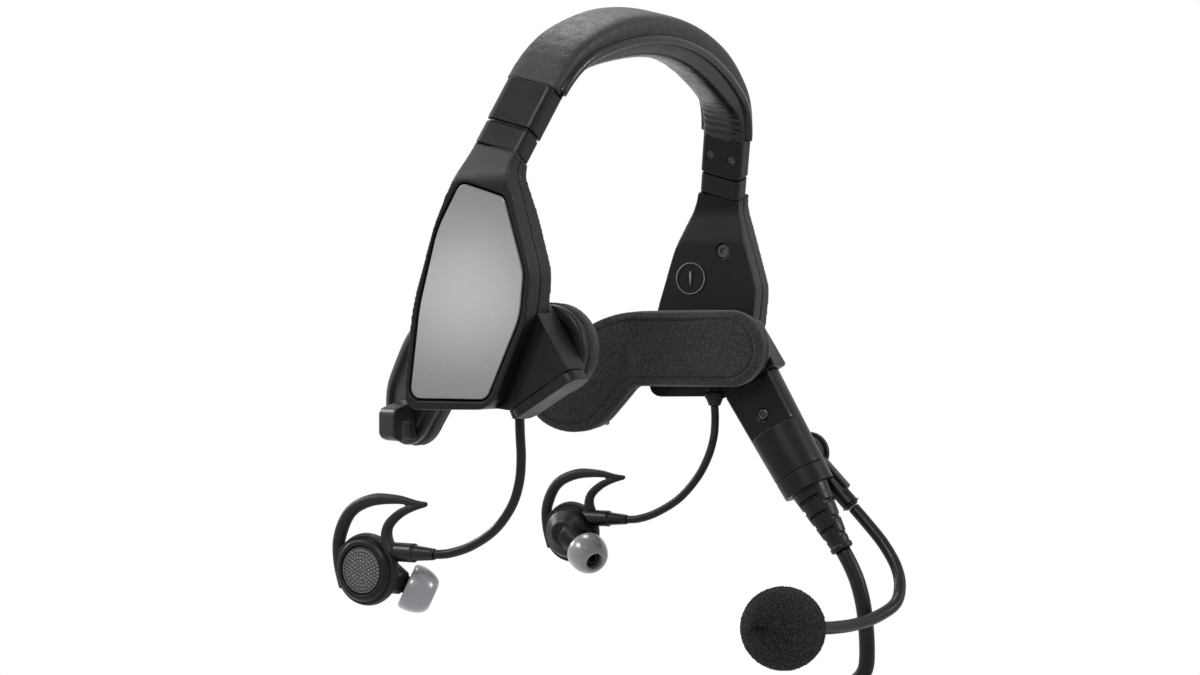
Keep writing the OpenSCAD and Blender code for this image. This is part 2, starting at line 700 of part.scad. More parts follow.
module at_pivot() {
    at_module() translate([0, 0, -pivot_along]) rotate([port_tilt, 0, 0]) children();
}
module boom_knob() {
    knob_in = arm_x - port_x + arm_t / 2 + soft_gap;
    color("#1a1a1a") at_pivot() {
        rod_x(pivot_d / 2, 3, knob_in + 1);
        translate([knob_in, 0, 0]) rotate([0, 90, 0]) {
            cylinder(r1 = 7, r2 = 7.2, h = 1.6);
            translate([0, 0, 1.6]) cylinder(r1 = 7.2, r2 = 5.6, h = 1.6);
            translate([0, 0, 3.2]) cylinder(r1 = 5.6, r2 = 3, h = 0.9);
        }
    }
}
module boom_arm() {
    along = boom_l - 6;
    color("#212121") at_pivot() translate([arm_x - port_x, 0, 0]) difference() {
        union() {
            rod_x(boss_r, -arm_t / 2, arm_t / 2);
            rotate([-boom_tilt, 0, 0]) {
                translate([-arm_t / 2, -4, -along]) cube([arm_t, 8, along]);
                translate([0, 0, -boom_l + 1]) cylinder(r = 2.9, h = boom_l - 9);
                translate([0, 0, -boom_l]) cylinder(r1 = neck_d / 2 + 0.3, r2 = 2.9, h = 1.01);
            }
        }
        rod_x(pivot_d / 2 + fit_gap, -10, 10);
    }
}
module gooseneck() {
    color("#1c1c1c") tube(smooth(neck_route, 3), neck_d / 2, 12);
}
mic_dir = unit(screen_at - neck_route[len(neck_route) - 1]);
module at_mic() {
    translate(neck_route[len(neck_route) - 1])
        rotate([0, acos(mic_dir.z), atan2(mic_dir.y, mic_dir.x)]) children();
}
module mic_capsule() {
    color("#4a4a4a") at_mic() translate([0, 0, 0.05]) cylinder(r = 3.2, h = 15);
}
module windscreen() {
    reach = norm(screen_at - neck_route[len(neck_route) - 1]);
    half = screen_l / 2;
    color("#111111") at_mic() difference() {
        translate([0, 0, reach]) rotate_extrude() polygon([for (k = [0 : 24])
            let (a = -90 + 180 * k / 24) [screen_d / 2 * cos(a), half * sin(a)]]);
        translate([0, 0, -1]) cylinder(r = 3.2 + soft_gap, h = 1 + 15.3 + soft_gap);
    }
}

// ---- Down cable ----

module down_cable() {
    color("#191919") tube(smooth(cable_route, 3), cable_d / 2, 12);
}
module hank_form(w, t, l) {
    translate(hank_mid) rotate([90, 0, 90]) translate([0, 0, -t / 2]) linear_extrude(t) {
        square([w, l], center = true);
        for (s = [-1, 1]) translate([0, s * l / 2]) circle(d = w);
    }
}
module cable_hank() {
    color("#191919") difference() {
        hank_form(hank_w, hank_t, hank_run);
        hank_form(hank_turn_d - 2 * cable_d, hank_t + 2, hank_run);
    }
}
module cable_tie() {
    color("#101010") difference() {
        translate(hank_mid) rotate([0, 0, 0]) bar(hank_t + 3, hank_w + 3, 2, -6, 6);
        translate(hank_mid) bar(hank_t + 0.6, hank_w + 0.6, 0.5, -7, 7);
    }
}
module cable_tail() {
    color("#191919") tube(smooth(tail_route, 3), cable_d / 2, 12);
}
module plug_handle() {
    color("#151515") translate(plug_at) mirror([0, 0, 1]) {
        cylinder(r1 = cable_d / 2 + 0.6, r2 = handle_d / 2 - 1, h = 16);
        translate([0, 0, 16]) cylinder(r = handle_d / 2, h = handle_l - 16);
    }
}
module plug_finger() {
    r = finger_d / 2;
    color("#b9a368") translate(plug_at + [0, 0, -handle_l - 0.05]) mirror([0, 0, 1]) {
        cylinder(r = r, h = finger_l - 5);
        translate([0, 0, finger_l - 5]) cylinder(r1 = r - 0.8, r2 = r - 0.2, h = 2);
        translate([0, 0, finger_l - 3]) cylinder(r1 = r - 0.2, r2 = 1, h = 3);
    }
}

// ---- The nodes ----

headband_cover();
headband_cushion();
headband_spring();
collar();  // left_collar
right() collar();  // right_collar
collar_screws();
tongue();  // left_tongue
slider_cap();  // left_slider_cap
outer_shell();  // left_outer_shell
inner_shell();  // left_inner_shell
face_plate();  // left_face_plate
port_housing();  // left_port_housing
pod_screws();  // left_pod_screws
grommet();  // left_grommet
pad_carrier();  // left_pad_carrier
pad_cushion();  // left_pad_cushion
cable_clip();  // left_cable_clip
ear_cable();  // left_ear_cable
bud_housing();  // left_bud_housing
bud_grille();  // left_bud_grille
bud_driver();  // left_bud_driver
bud_boot();  // left_bud_boot
ear_wing();  // left_ear_wing
ear_tip();  // left_ear_tip
right() tongue();  // right_tongue
right() slider_cap();  // right_slider_cap
right() outer_shell();  // right_outer_shell
right() inner_shell();  // right_inner_shell
right() face_plate();  // right_face_plate
right() port_housing();  // right_port_housing
right() pod_screws();  // right_pod_screws
right() grommet();  // right_grommet
right() pad_carrier();  // right_pad_carrier
right() pad_cushion();  // right_pad_cushion
right() cable_clip();  // right_cable_clip
right() ear_cable();  // right_ear_cable
right() bud_housing();  // right_bud_housing
right() bud_grille();  // right_bud_grille
right() bud_driver();  // right_bud_driver
right() bud_boot();  // right_bud_boot
right() ear_wing();  // right_ear_wing
right() ear_tip();  // right_ear_tip
right() port_cover();  // right_port_cover
module_tube();
module_saddle();
module_end_ring();
cable_boot();
boom_knob();
boom_arm();
gooseneck();
mic_capsule();
windscreen();
down_cable();
cable_hank();
cable_tie();
cable_tail();
plug_handle();
plug_finger();
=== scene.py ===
"""Looks of an aviation headset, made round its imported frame. +Z is up, the wearer faces -Y and +X is
the wearer's left. Shapes are worked out in millimetres and put into their meshes in metres."""

import json
import math

import bmesh
import bpy
import numpy as np
from bpy.props import FloatProperty, FloatVectorProperty, PointerProperty
from mathutils import Matrix, Vector

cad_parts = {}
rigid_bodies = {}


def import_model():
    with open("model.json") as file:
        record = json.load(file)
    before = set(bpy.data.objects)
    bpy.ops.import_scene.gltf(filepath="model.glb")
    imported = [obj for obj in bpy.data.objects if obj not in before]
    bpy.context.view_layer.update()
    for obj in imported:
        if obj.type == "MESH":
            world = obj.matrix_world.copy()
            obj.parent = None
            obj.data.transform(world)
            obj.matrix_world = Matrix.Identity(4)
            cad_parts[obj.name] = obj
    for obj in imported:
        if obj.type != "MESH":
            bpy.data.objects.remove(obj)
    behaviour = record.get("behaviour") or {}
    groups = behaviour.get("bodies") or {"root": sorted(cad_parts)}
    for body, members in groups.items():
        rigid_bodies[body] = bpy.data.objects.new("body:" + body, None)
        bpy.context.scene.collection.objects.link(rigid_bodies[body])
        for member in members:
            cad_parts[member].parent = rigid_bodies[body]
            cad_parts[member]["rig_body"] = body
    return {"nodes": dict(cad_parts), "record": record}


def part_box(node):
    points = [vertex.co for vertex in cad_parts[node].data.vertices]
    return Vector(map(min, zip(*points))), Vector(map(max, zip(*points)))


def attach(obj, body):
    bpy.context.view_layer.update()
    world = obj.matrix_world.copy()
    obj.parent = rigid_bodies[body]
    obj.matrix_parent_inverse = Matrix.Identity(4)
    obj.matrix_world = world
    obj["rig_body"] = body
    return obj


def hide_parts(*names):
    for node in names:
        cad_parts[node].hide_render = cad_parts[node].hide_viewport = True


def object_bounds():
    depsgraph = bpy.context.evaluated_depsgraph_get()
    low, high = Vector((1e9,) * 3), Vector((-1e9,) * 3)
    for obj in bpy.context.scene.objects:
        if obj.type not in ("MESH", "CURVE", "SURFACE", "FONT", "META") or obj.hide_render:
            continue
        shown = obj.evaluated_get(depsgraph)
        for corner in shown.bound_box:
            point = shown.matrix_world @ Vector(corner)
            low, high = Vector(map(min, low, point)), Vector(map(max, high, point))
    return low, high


bl_info = {
    "name": "Aviation Headset",
    "version": (1, 0, 0),
    "blender": (4, 5, 0),
    "location": "3D View > Sidebar > Headset",
    "description": "Builds the finished pieces of an aviation headset round its frame",
    "category": "Object",
}

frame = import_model()
cad_box = [list(corner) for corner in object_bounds()]
nodes = frame["nodes"]
slots = {part["node"]: part["material_slot"] for part in frame["record"]["subparts"]}

MM = 0.001
SIDES = (("left", 1), ("right", -1))
EDGE_ANGLE = math.radians(32)
FLAT_ANGLE = math.radians(0.6)
SWELL_FRAMES = 20
CLOTH = {"quality": 5, "mass": 0.0004, "tension_stiffness": 6, "compression_stiffness": 6,
         "bending_stiffness": 0.05, "use_pressure": True, "uniform_pressure_force": 4,
         "vertex_group_mass": "held"}
NO_HEADING = (0.31, 0.22, 0.93)
WHITE = (1, 1, 1, 1)


# ---- Settings ----


def length(name, description, default, low=0.0):
    """A length in metres for the panel."""
    return FloatProperty(name=name, description=description, default=default, min=low,
                         precision=5, subtype="DISTANCE", unit="LENGTH")


def angle(name, description, degrees):
    """An angle for the panel."""
    return FloatProperty(name=name, description=description, default=math.radians(degrees),
                         subtype="ANGLE")


def tint(name, description, default):
    """A colour for the panel."""
    return FloatVectorProperty(name=name, description=description, default=default, size=3,
                               min=0.0, max=1.0, subtype="COLOR")


class HeadsetBandSettings(bpy.types.PropertyGroup):
    """Sizes of the padded band."""

    width: length("Width", "Width of the leather cover", 0.017)
    rise: length("Rise", "Height of the band's middle line above the collars", 0.031)
    cover: length("Cover", "Height of the leather cover over the band's line", 0.006)
    cushion: length("Cushion", "Depth of the inner cushion under the band's line", 0.0071)
    welt: length("Welt", "Radius of the welt between cover and cushion", 0.0015)
    lean: angle("Lean", "Forward lean", 17)
    splay: angle("Splay", "Outward splay of the collars", 24)
    taper: FloatProperty(name="Taper", description="Thickness left at a collar", default=0.62,
                         min=0.3, max=1.0, subtype="FACTOR")


class HeadsetPadSettings(bpy.types.PropertyGroup):
    """Sizes of the temple pads."""

    face: length("Face", "Distance of a pad's face from the middle of the head", 0.054)
    height: length("Height", "Height of a pad", 0.026)
    depth: length("Depth", "Thickness of the padding", 0.006)
    bend: length("Bend", "Radius that the rear of a pad bends to", 0.085)
    swell: length("Swell", "The most that the padding swells", 0.0007)


class HeadsetCordSettings(bpy.types.PropertyGroup):
    """Sizes of the cords."""

    cable: length("Down cable", "Diameter of the down cable", 0.0052)
    whole: length("Length", "Length of the down cable", 1.5)
    ear: length("Ear cable", "Diameter of an ear cable", 0.0027)
    neck: length("Gooseneck", "Diameter of the gooseneck", 0.004)


class HeadsetFinishSettings(bpy.types.PropertyGroup):
    """Colours of the finishes."""

    plastic: tint("Plastic", "Moulded black plastic", (0.0042, 0.0042, 0.0045))
    leather: tint("Leather", "Grained leather", (0.0065, 0.0065, 0.007))
    suede: tint("Microsuede", "Pad fabric", (0.0145, 0.0145, 0.015))
    plate: tint("Face plate", "Satin grey paint", (0.14, 0.142, 0.146))
    tip: tint("Ear tip", "Grey silicone", (0.13, 0.134, 0.142))


class HeadsetStageSettings(bpy.types.PropertyGroup):
    """Camera and light."""

    distance: length("Distance", "Camera distance from the middle of the head", 0.545)
    azimuth: angle("Azimuth", "Camera's turn from straight in front", -60.7)
    lens: FloatProperty(name="Lens", description="Focal length in millimetres", default=52.3)
    key: FloatProperty(name="Key light", description="Power of the key light", default=8.5)
    fill: FloatProperty(name="Fill light", description="Power of each side light", default=4.6)


class HeadsetSettings(bpy.types.PropertyGroup):
    """All the settings of the headset."""

    band: PointerProperty(type=HeadsetBandSettings, name="Band", description="Band sizes")
    pad: PointerProperty(type=HeadsetPadSettings, name="Pads", description="Pad sizes")
    cord: PointerProperty(type=HeadsetCordSettings, name="Cords", description="Cord sizes")
    finish: PointerProperty(type=HeadsetFinishSettings, name="Finishes", description="Colours")
    stage: PointerProperty(type=HeadsetStageSettings, name="Stage", description="Camera, light")


def settings():
    """The scene's settings."""
    return bpy.context.scene.headset


# ---- Finishes ----


def add_node(tree, kind, inputs=None, **values):
    """A new node with these properties. An input takes a value, or is linked to a socket."""
    made = tree.nodes.new(kind)
    for key, value in values.items():
        setattr(made, key, value)
    for key, value in (inputs or {}).items():
        if isinstance(value, bpy.types.NodeSocket):
            tree.links.new(value, made.inputs[key])
        else:
            made.inputs[key].default_value = value
    return made


class Finish:
    """A node material built up from one Principled shader."""

    def __init__(self, name, colour, rough, **sockets):
        """Starts plain, with this colour and roughness and these other inputs of the shader."""
        self.material = bpy.data.materials.new(name)
        self.material.use_nodes = True
        self.colour = tuple(colour)
        self.tree = self.material.node_tree
        self.shader = self.tree.nodes["Principled BSDF"]
        self.shader.inputs["Base Color"].default_value = (*colour, 1)
        self.shader.inputs["Roughness"].default_value = rough
        for socket, value in sockets.items():
            self.shader.inputs[socket.replace("_", " ")].default_value = value
        self.place = self.node("ShaderNodeTexCoord").outputs["Object"]
        self.height = None

    def node(self, kind, inputs=None, **values):
        """A new node of this material."""
        return add_node(self.tree, kind, inputs, **values)

    def feed(self, source, socket):
        """Links a source to an input of the shader."""
        self.tree.links.new(source, self.shader.inputs[socket])

    def noise(self, scale, detail=3.0, rough=0.5):
        """Cloudy noise on object coordinates, scale in turns per metre."""
        inputs = {"Vector": self.place, "Scale": scale, "Detail": detail, "Roughness": rough}
        return self.node("ShaderNodeTexNoise", inputs).outputs["Fac"]

    def cells(self, scale, feature="F1"):
        """Distance to the nearest cell point, or to the edge between two cells."""
        inputs = {"Vector": self.place, "Scale": scale}
        return self.node("ShaderNodeTexVoronoi", inputs, feature=feature).outputs["Distance"]

    def span(self, value, low, high, start=0.0, end=1.0):
        """The value, mapped from start..end to low..high."""
        inputs = {"Value": value, "From Min": start, "From Max": end, "To Min": low,
                  "To Max": high}
        return self.node("ShaderNodeMapRange", inputs).outputs["Result"]

    def shade(self, value, dark, light):
        """Colour that runs between two shades with the value."""
        inputs = {"Factor": value, "A": (*dark, 1), "B": (*light, 1)}
        mixed = self.node("ShaderNodeMix", inputs, data_type="RGBA").outputs["Result"]
        self.feed(mixed, "Base Color")

    def tones(self, value, *shares):
        """Colour that runs between two shares of the finish's own colour with the value."""
        self.shade(value, *[[min(1.0, channel * share) for channel in self.colour]
                            for share in shares])

    def gloss(self, value, low, high, start=0.3, end=0.7):
        """Roughness that follows the value."""
        self.feed(self.span(value, low, high, start, end), "Roughness")

    def bump(self, value, depth, strength):
        """Adds relief of this depth in metres on top of what is there."""
        inputs = {"Height": value, "Distance": depth, "Strength": strength}
        if self.height is not None:
            inputs["Normal"] = self.height
        self.height = self.node("ShaderNodeBump", inputs).outputs["Normal"]
        self.feed(self.height, "Normal")


def moulded_plastic():
    """Black plastic with a fine spark-eroded grain, rubbed a little on its edges."""
    made = Finish("moulded_plastic", settings().finish.plastic, 0.38, Specular_IOR_Level=0.13)
    wear = made.span(made.node("ShaderNodeNewGeometry").outputs["Pointiness"], 0, 1, 0.5, 0.58)
    made.tones(wear, 0.9, 1.8)
    made.gloss(made.noise(120, 4.0), 0.32, 0.42)
    made.bump(made.noise(3200, 2.0), 0.00003, 0.55)
    return made.material


def plate_paint():
    """Satin grey paint, with a faint flake."""
    made = Finish("plate_paint", settings().finish.plate, 0.21, Metallic=0.6,
                  Specular_IOR_Level=0.4)
    flake = made.noise(5200, 1.0)
    made.tones(made.span(flake, 0, 1, 0.35, 0.65), 0.9, 1.05)
    made.gloss(made.noise(90, 1.0), 0.205, 0.215)
    made.bump(flake, 0.000003, 0.3)
    return made.material


def grained_leather():
    """Pebbled leather: rounded cells, creases between them and a slow change of tone."""
    made = Finish("grained_leather", settings().finish.leather, 0.36, Specular_IOR_Level=0.27)
    made.tones(made.noise(160, 4.0), 0.75, 1.5)
    made.gloss(made.noise(420, 3.0), 0.5, 0.62)
    made.bump(made.cells(1250, "DISTANCE_TO_EDGE"), 0.0002, 0.7)
    made.bump(made.noise(600, 3.0), 0.00012, 0.6)
    return made.material


def microsuede():
    """Short-napped fabric: speckled, dull, with a soft sheen."""
    made = Finish("microsuede", settings().finish.suede, 0.95, Specular_IOR_Level=0.1,
                  Sheen_Weight=0.12, Sheen_Roughness=0.45)
    speck = made.noise(2600, 2.0, 0.7)
    made.tones(made.span(speck, 0, 1, 0.42, 0.66), 0.6, 2.6)
    made.bump(speck, 0.0002, 0.8)
    made.bump(made.noise(260, 3.0), 0.0002, 0.4)
    return made.material


def open_foam():
    """Open-cell foam: small pores in relief, darkened by painted shade, with lighter struts between.
    """
    made = Finish("open_foam", (0.01, 0.01, 0.011), 0.95, Specular_IOR_Level=0.05,
                  Sheen_Weight=0.03)
    pores = made.cells(1900)
    # painted shade: the colour darkens toward the middle of each pore
    made.shade(made.span(pores, 0, 1, 0.25, 0.75), (0.004, 0.004, 0.004), (0.024, 0.024, 0.025))
    made.bump(pores, 0.0004, 0.9)
    made.bump(made.noise(2800, 2.0), 0.0002, 0.6)
    return made.material


def tip_silicone():
    """Grey silicone, clouded a little and glossy, paler where it is seen edge on."""
    made = Finish("tip_silicone", settings().finish.tip, 0.26, IOR=1.41, Coat_Weight=0.35,
                  Coat_Roughness=0.2, Sheen_Weight=0.15)
    made.tones(made.noise(130, 2.0), 0.92, 1.1)
    made.gloss(made.noise(200, 2.0), 0.24, 0.3)
    made.bump(made.noise(300, 2.0), 0.00002, 0.3)
    return made.material


def worked_steel(name, colour, rough, along):
    """Steel with fine lines from rolling or turning; along stretches the lines on each axis."""
    made = Finish(name, colour, rough, Metallic=1.0)
    stretch = made.node("ShaderNodeMapping", {"Vector": made.place, "Scale": along})
    made.place = stretch.outputs["Vector"]
    lines = made.noise(2500, 3.0)
    made.tones(lines, 0.75, 1.2)
    made.gloss(lines, rough * 0.8, rough * 1.3)
    made.bump(lines, 0.00001, 0.4)
    return made.material


def soft_sheen(name, colour, rough, specular, gloss, relief, sheen=0.0):
    """A dark moulding or skin. Its roughness follows one noise: gloss is that noise's scale and
    detail, then the roughness at its two ends. Its relief follows another: relief is the scale,
    detail and roughness of that noise, then the depth in metres and the strength."""
    made = Finish(name, colour, rough, Specular_IOR_Level=specular, Sheen_Weight=sheen)
    made.gloss(made.noise(*gloss[:2]), *gloss[2:])
    made.bump(made.noise(*relief[:3]), *relief[3:])
    return made.material


def mark_ink():
    """Thin grey ink of a printed mark."""
    made = Finish("mark_ink", (0.09, 0.09, 0.092), 0.55)
    made.shade(made.noise(3000, 2.0), (0.07, 0.07, 0.072), (0.12, 0.12, 0.122))
    return made.material


FINISHES = {
    "leather": (grained_leather,),
    "padding": (soft_sheen, "smooth_leather", (0.005, 0.005, 0.0055), 0.28, 0.24,
                (300, 3.0, 0.24, 0.36), (900, 5.0, 0.6, 0.00008, 0.6)),
    "band_steel": (worked_steel, "rolled_steel", (0.5, 0.51, 0.52), 0.3, (1, 0.04, 1)),
    "black_plastic": (moulded_plastic,),
    "dark_plastic": (soft_sheen, "smooth_plastic", (0.003, 0.003, 0.0034), 0.26, 0.2,
                     (240, 3.0, 0.26, 0.36), (2400, 2.0, 0.5, 0.00001, 0.5)),
    "face_grey": (plate_paint,),
    "screw_steel": (worked_steel, "black_steel", (0.05, 0.05, 0.052), 0.35, (1, 1, 1)),
    "microsuede": (microsuede,),
    "cable_rubber": (soft_sheen, "cable_jacket", (0.005, 0.005, 0.0055), 0.34, 0.14,
                     (350, 3.0, 0.3, 0.46), (1500, 3.0, 0.5, 0.00003, 0.5)),
    "grille_steel": (worked_steel, "grille_steel", (0.075, 0.075, 0.078), 0.36, (1, 1, 1)),
    "driver_metal": (worked_steel, "driver_metal", (0.4, 0.4, 0.42), 0.35, (1, 1, 0.05)),
    "wing_silicone": (soft_sheen, "dark_silicone", (0.005, 0.005, 0.0056), 0.42, 0.15,
                      (500, 3.0, 0.42, 0.58), (1800, 2.0, 0.5, 0.00003, 0.5), 0.04),
    "tip_silicone": (tip_silicone,),
    "foam": (open_foam,),
    "brass": (worked_steel, "plug_brass", (0.72, 0.6, 0.35), 0.2, (1, 1, 0.05)),
    "mark": (mark_ink,),
}
made_finishes = {}


def finish(name):
    """The material of a finish, made once."""
    if name not in made_finishes:
        maker, *details = FINISHES[name]
        made_finishes[name] = maker(*details)
    return made_finishes[name]


# ---- Meshes ----


def grid_faces(rows, columns, ring=True):
    """Quads of a grid of corners: (i, j), (i, j + 1), (i + 1, j + 1), (i + 1, j). A ring closes j."""
    i = np.arange(rows - 1)[:, None]
    j = np.arange(columns if ring else columns - 1)[None, :]
    after = (j + 1) % columns
    corners = (i * columns + j, i * columns + after, (i + 1) * columns + after,
               (i + 1) * columns + j)
    return np.stack(np.broadcast_arrays(*corners), axis=-1).reshape(-1, 4)


def around(count):
    """The angles of count even steps round a circle."""
    return np.linspace(0, 2 * math.pi, count, endpoint=False)


def new_object(name, data):
    """A new object in the scene."""
    obj = bpy.data.objects.new(name, data)
    bpy.context.scene.collection.objects.link(obj)
    return obj


def joined(mesh, apart, mend):
    """Joins corners that are less than apart metres from each other, then mends the mesh."""
    shape = bmesh.new()
    shape.from_mesh(mesh)
    bmesh.ops.remove_doubles(shape, verts=shape.verts, dist=apart)
    mend(shape)
    shape.to_mesh(mesh)
    shape.free()


def piece(name, points, faces, *to, **more):
    """An object at the origin with these corners, in millimetres. The rest goes to settle."""
    mesh = bpy.data.meshes.new(name)
    mesh.from_pydata((np.asarray(points, float) * MM).tolist(), [],
                     [list(map(int, face)) for face in faces])
    joined(mesh, 0.000002, lambda shape: bmesh.ops.recalc_face_normals(shape, faces=shape.faces))
    return settle(new_object(name, mesh), *to, **more)


def settle(obj, node=None, body=None, slot=None, stands_for=(), look=None):
    """Gives the object the finish of its look, or else of its slot, and its body, and hides the CAD
    nodes that it stands for. The slot and the body are its node's where they aren't given."""
    slot = slot or slots[node]
    obj.data.materials.clear()
    obj.data.materials.append(finish(look or slot))
    obj.data.shade_smooth()
    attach(obj, body or nodes[node]["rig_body"])
    if node:
        stands_for = (node, *stands_for)
    if stands_for:
        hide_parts(*stands_for)
    return obj


def form(node):
    """A piece from a CAD node's mesh, with its corners joined and its flat faces whole."""
    mesh = nodes[node].data.copy()
    mesh.name = node + "_form"
    joined(mesh, 0.000004, lambda shape: bmesh.ops.dissolve_limit(
        shape, angle_limit=FLAT_ANGLE, verts=shape.verts, edges=shape.edges))
    return settle(new_object(mesh.name, mesh), node)


def edged(node, width, segments=3):
    """A moulded or turned piece: the CAD form with its edges rounded by width millimetres."""
    obj = form(node)
    bevel = obj.modifiers.new("Rounded edges", "BEVEL")
    bevel.width = width * MM
    bevel.segments = segments
    bevel.limit_method = "ANGLE"
    bevel.angle_limit = EDGE_ANGLE
    bevel.use_clamp_overlap = False
    obj.modifiers.new("Even shading", "WEIGHTED_NORMAL").keep_sharp = True
    return obj


def blended(obj, voxel, passes):
    """Remeshes the object at voxel millimetres and smooths it, in its own mesh."""
    remesh = obj.modifiers.new("Even mesh", "REMESH")
    remesh.mode = "VOXEL"
    remesh.voxel_size = voxel * MM
    smooth = obj.modifiers.new("Blend", "SMOOTH")
    smooth.factor = 0.5
    smooth.iterations = passes
    apply_modifiers(obj)
    obj.data.shade_smooth()


def soft_form(node, voxel, passes):
    """A rubbery or blended piece: the CAD form remeshed at voxel millimetres and smoothed."""
    blended(form(node), voxel, passes)


def apply_modifiers(obj):
    """Puts what the modifiers make into the object's own mesh."""
    bpy.context.view_layer.update()
    evaluated = obj.evaluated_get(bpy.context.evaluated_depsgraph_get())
    mesh = bpy.data.meshes.new_from_object(evaluated)
    obj.modifiers.clear()
    obj.data = mesh


def kept_node(node, look):
    """A hidden inner piece stays as its CAD node, with its own finish."""
    nodes[node].data.materials.clear()
    nodes[node].data.materials.append(finish(look))


def moved(points, matrix):
    """Points carried by a 4 by 4 matrix."""
    matrix = np.array(matrix)
    return np.asarray(points) @ matrix[:3, :3].T + matrix[:3, 3]


def shift(x, y, z):
    """Matrix of a move."""
    return Matrix.Translation((x, y, z))


def turn(degrees, axis):
    """Matrix of a turn."""
    return Matrix.Rotation(math.radians(degrees), 4, axis)


def lathe(profile, sides):
    """A profile of (radius, height) turned round Z: x = r cos a, y = r sin a, z = height."""
    profile = np.asarray(profile, float)
    angle = around(sides)
    radius, height = profile[:, 0][:, None], profile[:, 1][:, None]
    points = np.stack(np.broadcast_arrays(radius * np.cos(angle), radius * np.sin(angle), height),
                      axis=-1)
    return points.reshape(-1, 3), grid_faces(len(profile), sides)


def eased(profile, cut):
    """A profile with each inner corner cut in two, which rounds it by about cut millimetres."""
    profile = np.asarray(profile, float)
    here = profile[1:-1]
    ends = []
    for toward in (profile[:-2] - here, profile[2:] - here):
        span = np.linalg.norm(toward, axis=1, keepdims=True)
        ends.append(here + toward / span * np.minimum(cut, span / 3))
    middle = (ends[0] + ends[1] + 2 * here) / 4
    inner = np.stack((ends[0], middle, ends[1]), axis=1).reshape(-1, 2)
    return np.vstack((profile[:1], inner, profile[-1:]))


def turned(name, profile, cut, sides, place, side=1, **to):
    """A lathed piece with its edges eased by cut millimetres, put in its place, and mirrored where
    side is -1."""
    points, faces = lathe(eased(profile, cut), sides)
    return piece(name, moved(points, place) * (side, 1, 1), faces, **to)


def smooth_route(points, steps=12):
    """A Catmull-Rom curve through given points: each stretch is a cubic in its share t."""
    p = np.asarray(points, float)
    p = np.vstack((p[:1], p, p[-1:]))
    t = np.linspace(0, 1, steps, endpoint=False)[None, :, None]
    a, b, c, d = (p[k:len(p) - 3 + k, None, :] for k in range(4))
    curve = b + (c - a) * t / 2 + (2 * a - 5 * b + 4 * c - d) * t**2 / 2 \
        + (3 * b - a - 3 * c + d) * t**3 / 2
    return np.vstack((curve.reshape(-1, 3), p[-1:]))


def evenly(path, step):
    """The path's points respaced, step millimetres apart."""
    gaps = np.linalg.norm(np.diff(path, axis=0), axis=1)
    along = np.concatenate(([0], np.cumsum(gaps)))
    wanted = np.linspace(0, along[-1], max(2, int(round(along[-1] / step)) + 1))
    return np.stack([np.interp(wanted, along, path[:, k]) for k in range(3)], axis=1)


def path_length(path):
    """Length of a path in millimetres."""
    return float(np.linalg.norm(np.diff(path, axis=0), axis=1).sum())


def tube(path, radius, sides):
    """A round section carried along a path without twist, with eased ends. Ring k has the points
    path[k] + radius (cos a side[k] + sin a up[k]); radius may change along the path."""
    heading = np.gradient(path, axis=0)
    heading /= np.linalg.norm(heading, axis=1, keepdims=True)
    side = np.empty_like(path)
    carried = np.cross(heading[0], NO_HEADING)
    for k, direction in enumerate(heading):
        carried = carried - carried @ direction * direction
        carried = carried / np.linalg.norm(carried)
        side[k] = carried
    up = np.cross(heading, side)
    radius = np.broadcast_to(radius, len(path)).astype(float)
    ends = np.array([0.0, 0.8])
    radius = np.concatenate((ends * radius[0], radius, ends[::-1] * radius[-1]))
    path, side, up = (np.vstack((rows[:1], rows[:1], rows, rows[-1:], rows[-1:]))[:, None]
                      for rows in (path, side, up))
    angle = around(sides)[None, :, None]
    rings = path + radius[:, None, None] * (np.cos(angle) * side + np.sin(angle) * up)
    return rings.reshape(-1, 3), grid_faces(len(path), sides)


def vectors_of(obj, what):
    """A vector of each corner of the object, its place or its normal, as an array."""
    flat = np.empty(len(obj.data.vertices) * 3, np.float32)
    obj.data.vertices.foreach_get(what, flat)
    return flat.reshape(-1, 3).astype(float)


def corners_of(obj):
    """The object's corners as an array, in millimetres."""
    return vectors_of(obj, "co") / MM


def set_corners(obj, points):
    """Puts an array of millimetres back into the object's mesh."""
    obj.data.vertices.foreach_set("co", (points * MM).astype(np.float32).ravel())
    obj.data.update()


def swell(obj, fixed, cap):
    """Padding by cloth simulation: air pressure swells the piece over some frames, its fixed
    corners stay, and no corner moves more than cap: a move d becomes cap tanh(d / cap)."""
    scene = bpy.context.scene
    start = corners_of(obj)
    group = obj.vertex_groups.new(name="held")
    group.add(np.flatnonzero(fixed).tolist(), 1.0, "REPLACE")
    cloth = obj.modifiers.new("Padding", "CLOTH")
    for key, value in CLOTH.items():
        setattr(cloth.settings, key, value)
    cloth.settings.effector_weights.gravity = 0
    cloth.collision_settings.use_collision = False
    cloth.point_cache.frame_start = 1
    cloth.point_cache.frame_end = SWELL_FRAMES
    for number in range(1, SWELL_FRAMES + 1):
        scene.frame_set(number)
    end = corners_of(obj.evaluated_get(bpy.context.evaluated_depsgraph_get()))
    obj.modifiers.remove(cloth)
    obj.vertex_groups.clear()
    scene.frame_set(1)
    move = end - start
    far = np.linalg.norm(move, axis=1, keepdims=True) + 1e-9
    set_corners(obj, start + move * (cap * np.tanh(far / cap) / far))
    print(obj.name, "swelled by up to", round(float(far.max()), 3), "mm before the cap")


# ---- Band ----

COLLAR_AT = (65.3, -12.7, 63.0)
COLLAR_HALF = 6.75
TOP_TURN = math.radians(25)


def band_frame():
    """Matrix from the band's leaning frame, level with the collars, to the headset's."""
    lean = Matrix.Rotation(settings().band.lean, 4, "X")
    return shift(0, COLLAR_AT[1], COLLAR_AT[2]) @ lean


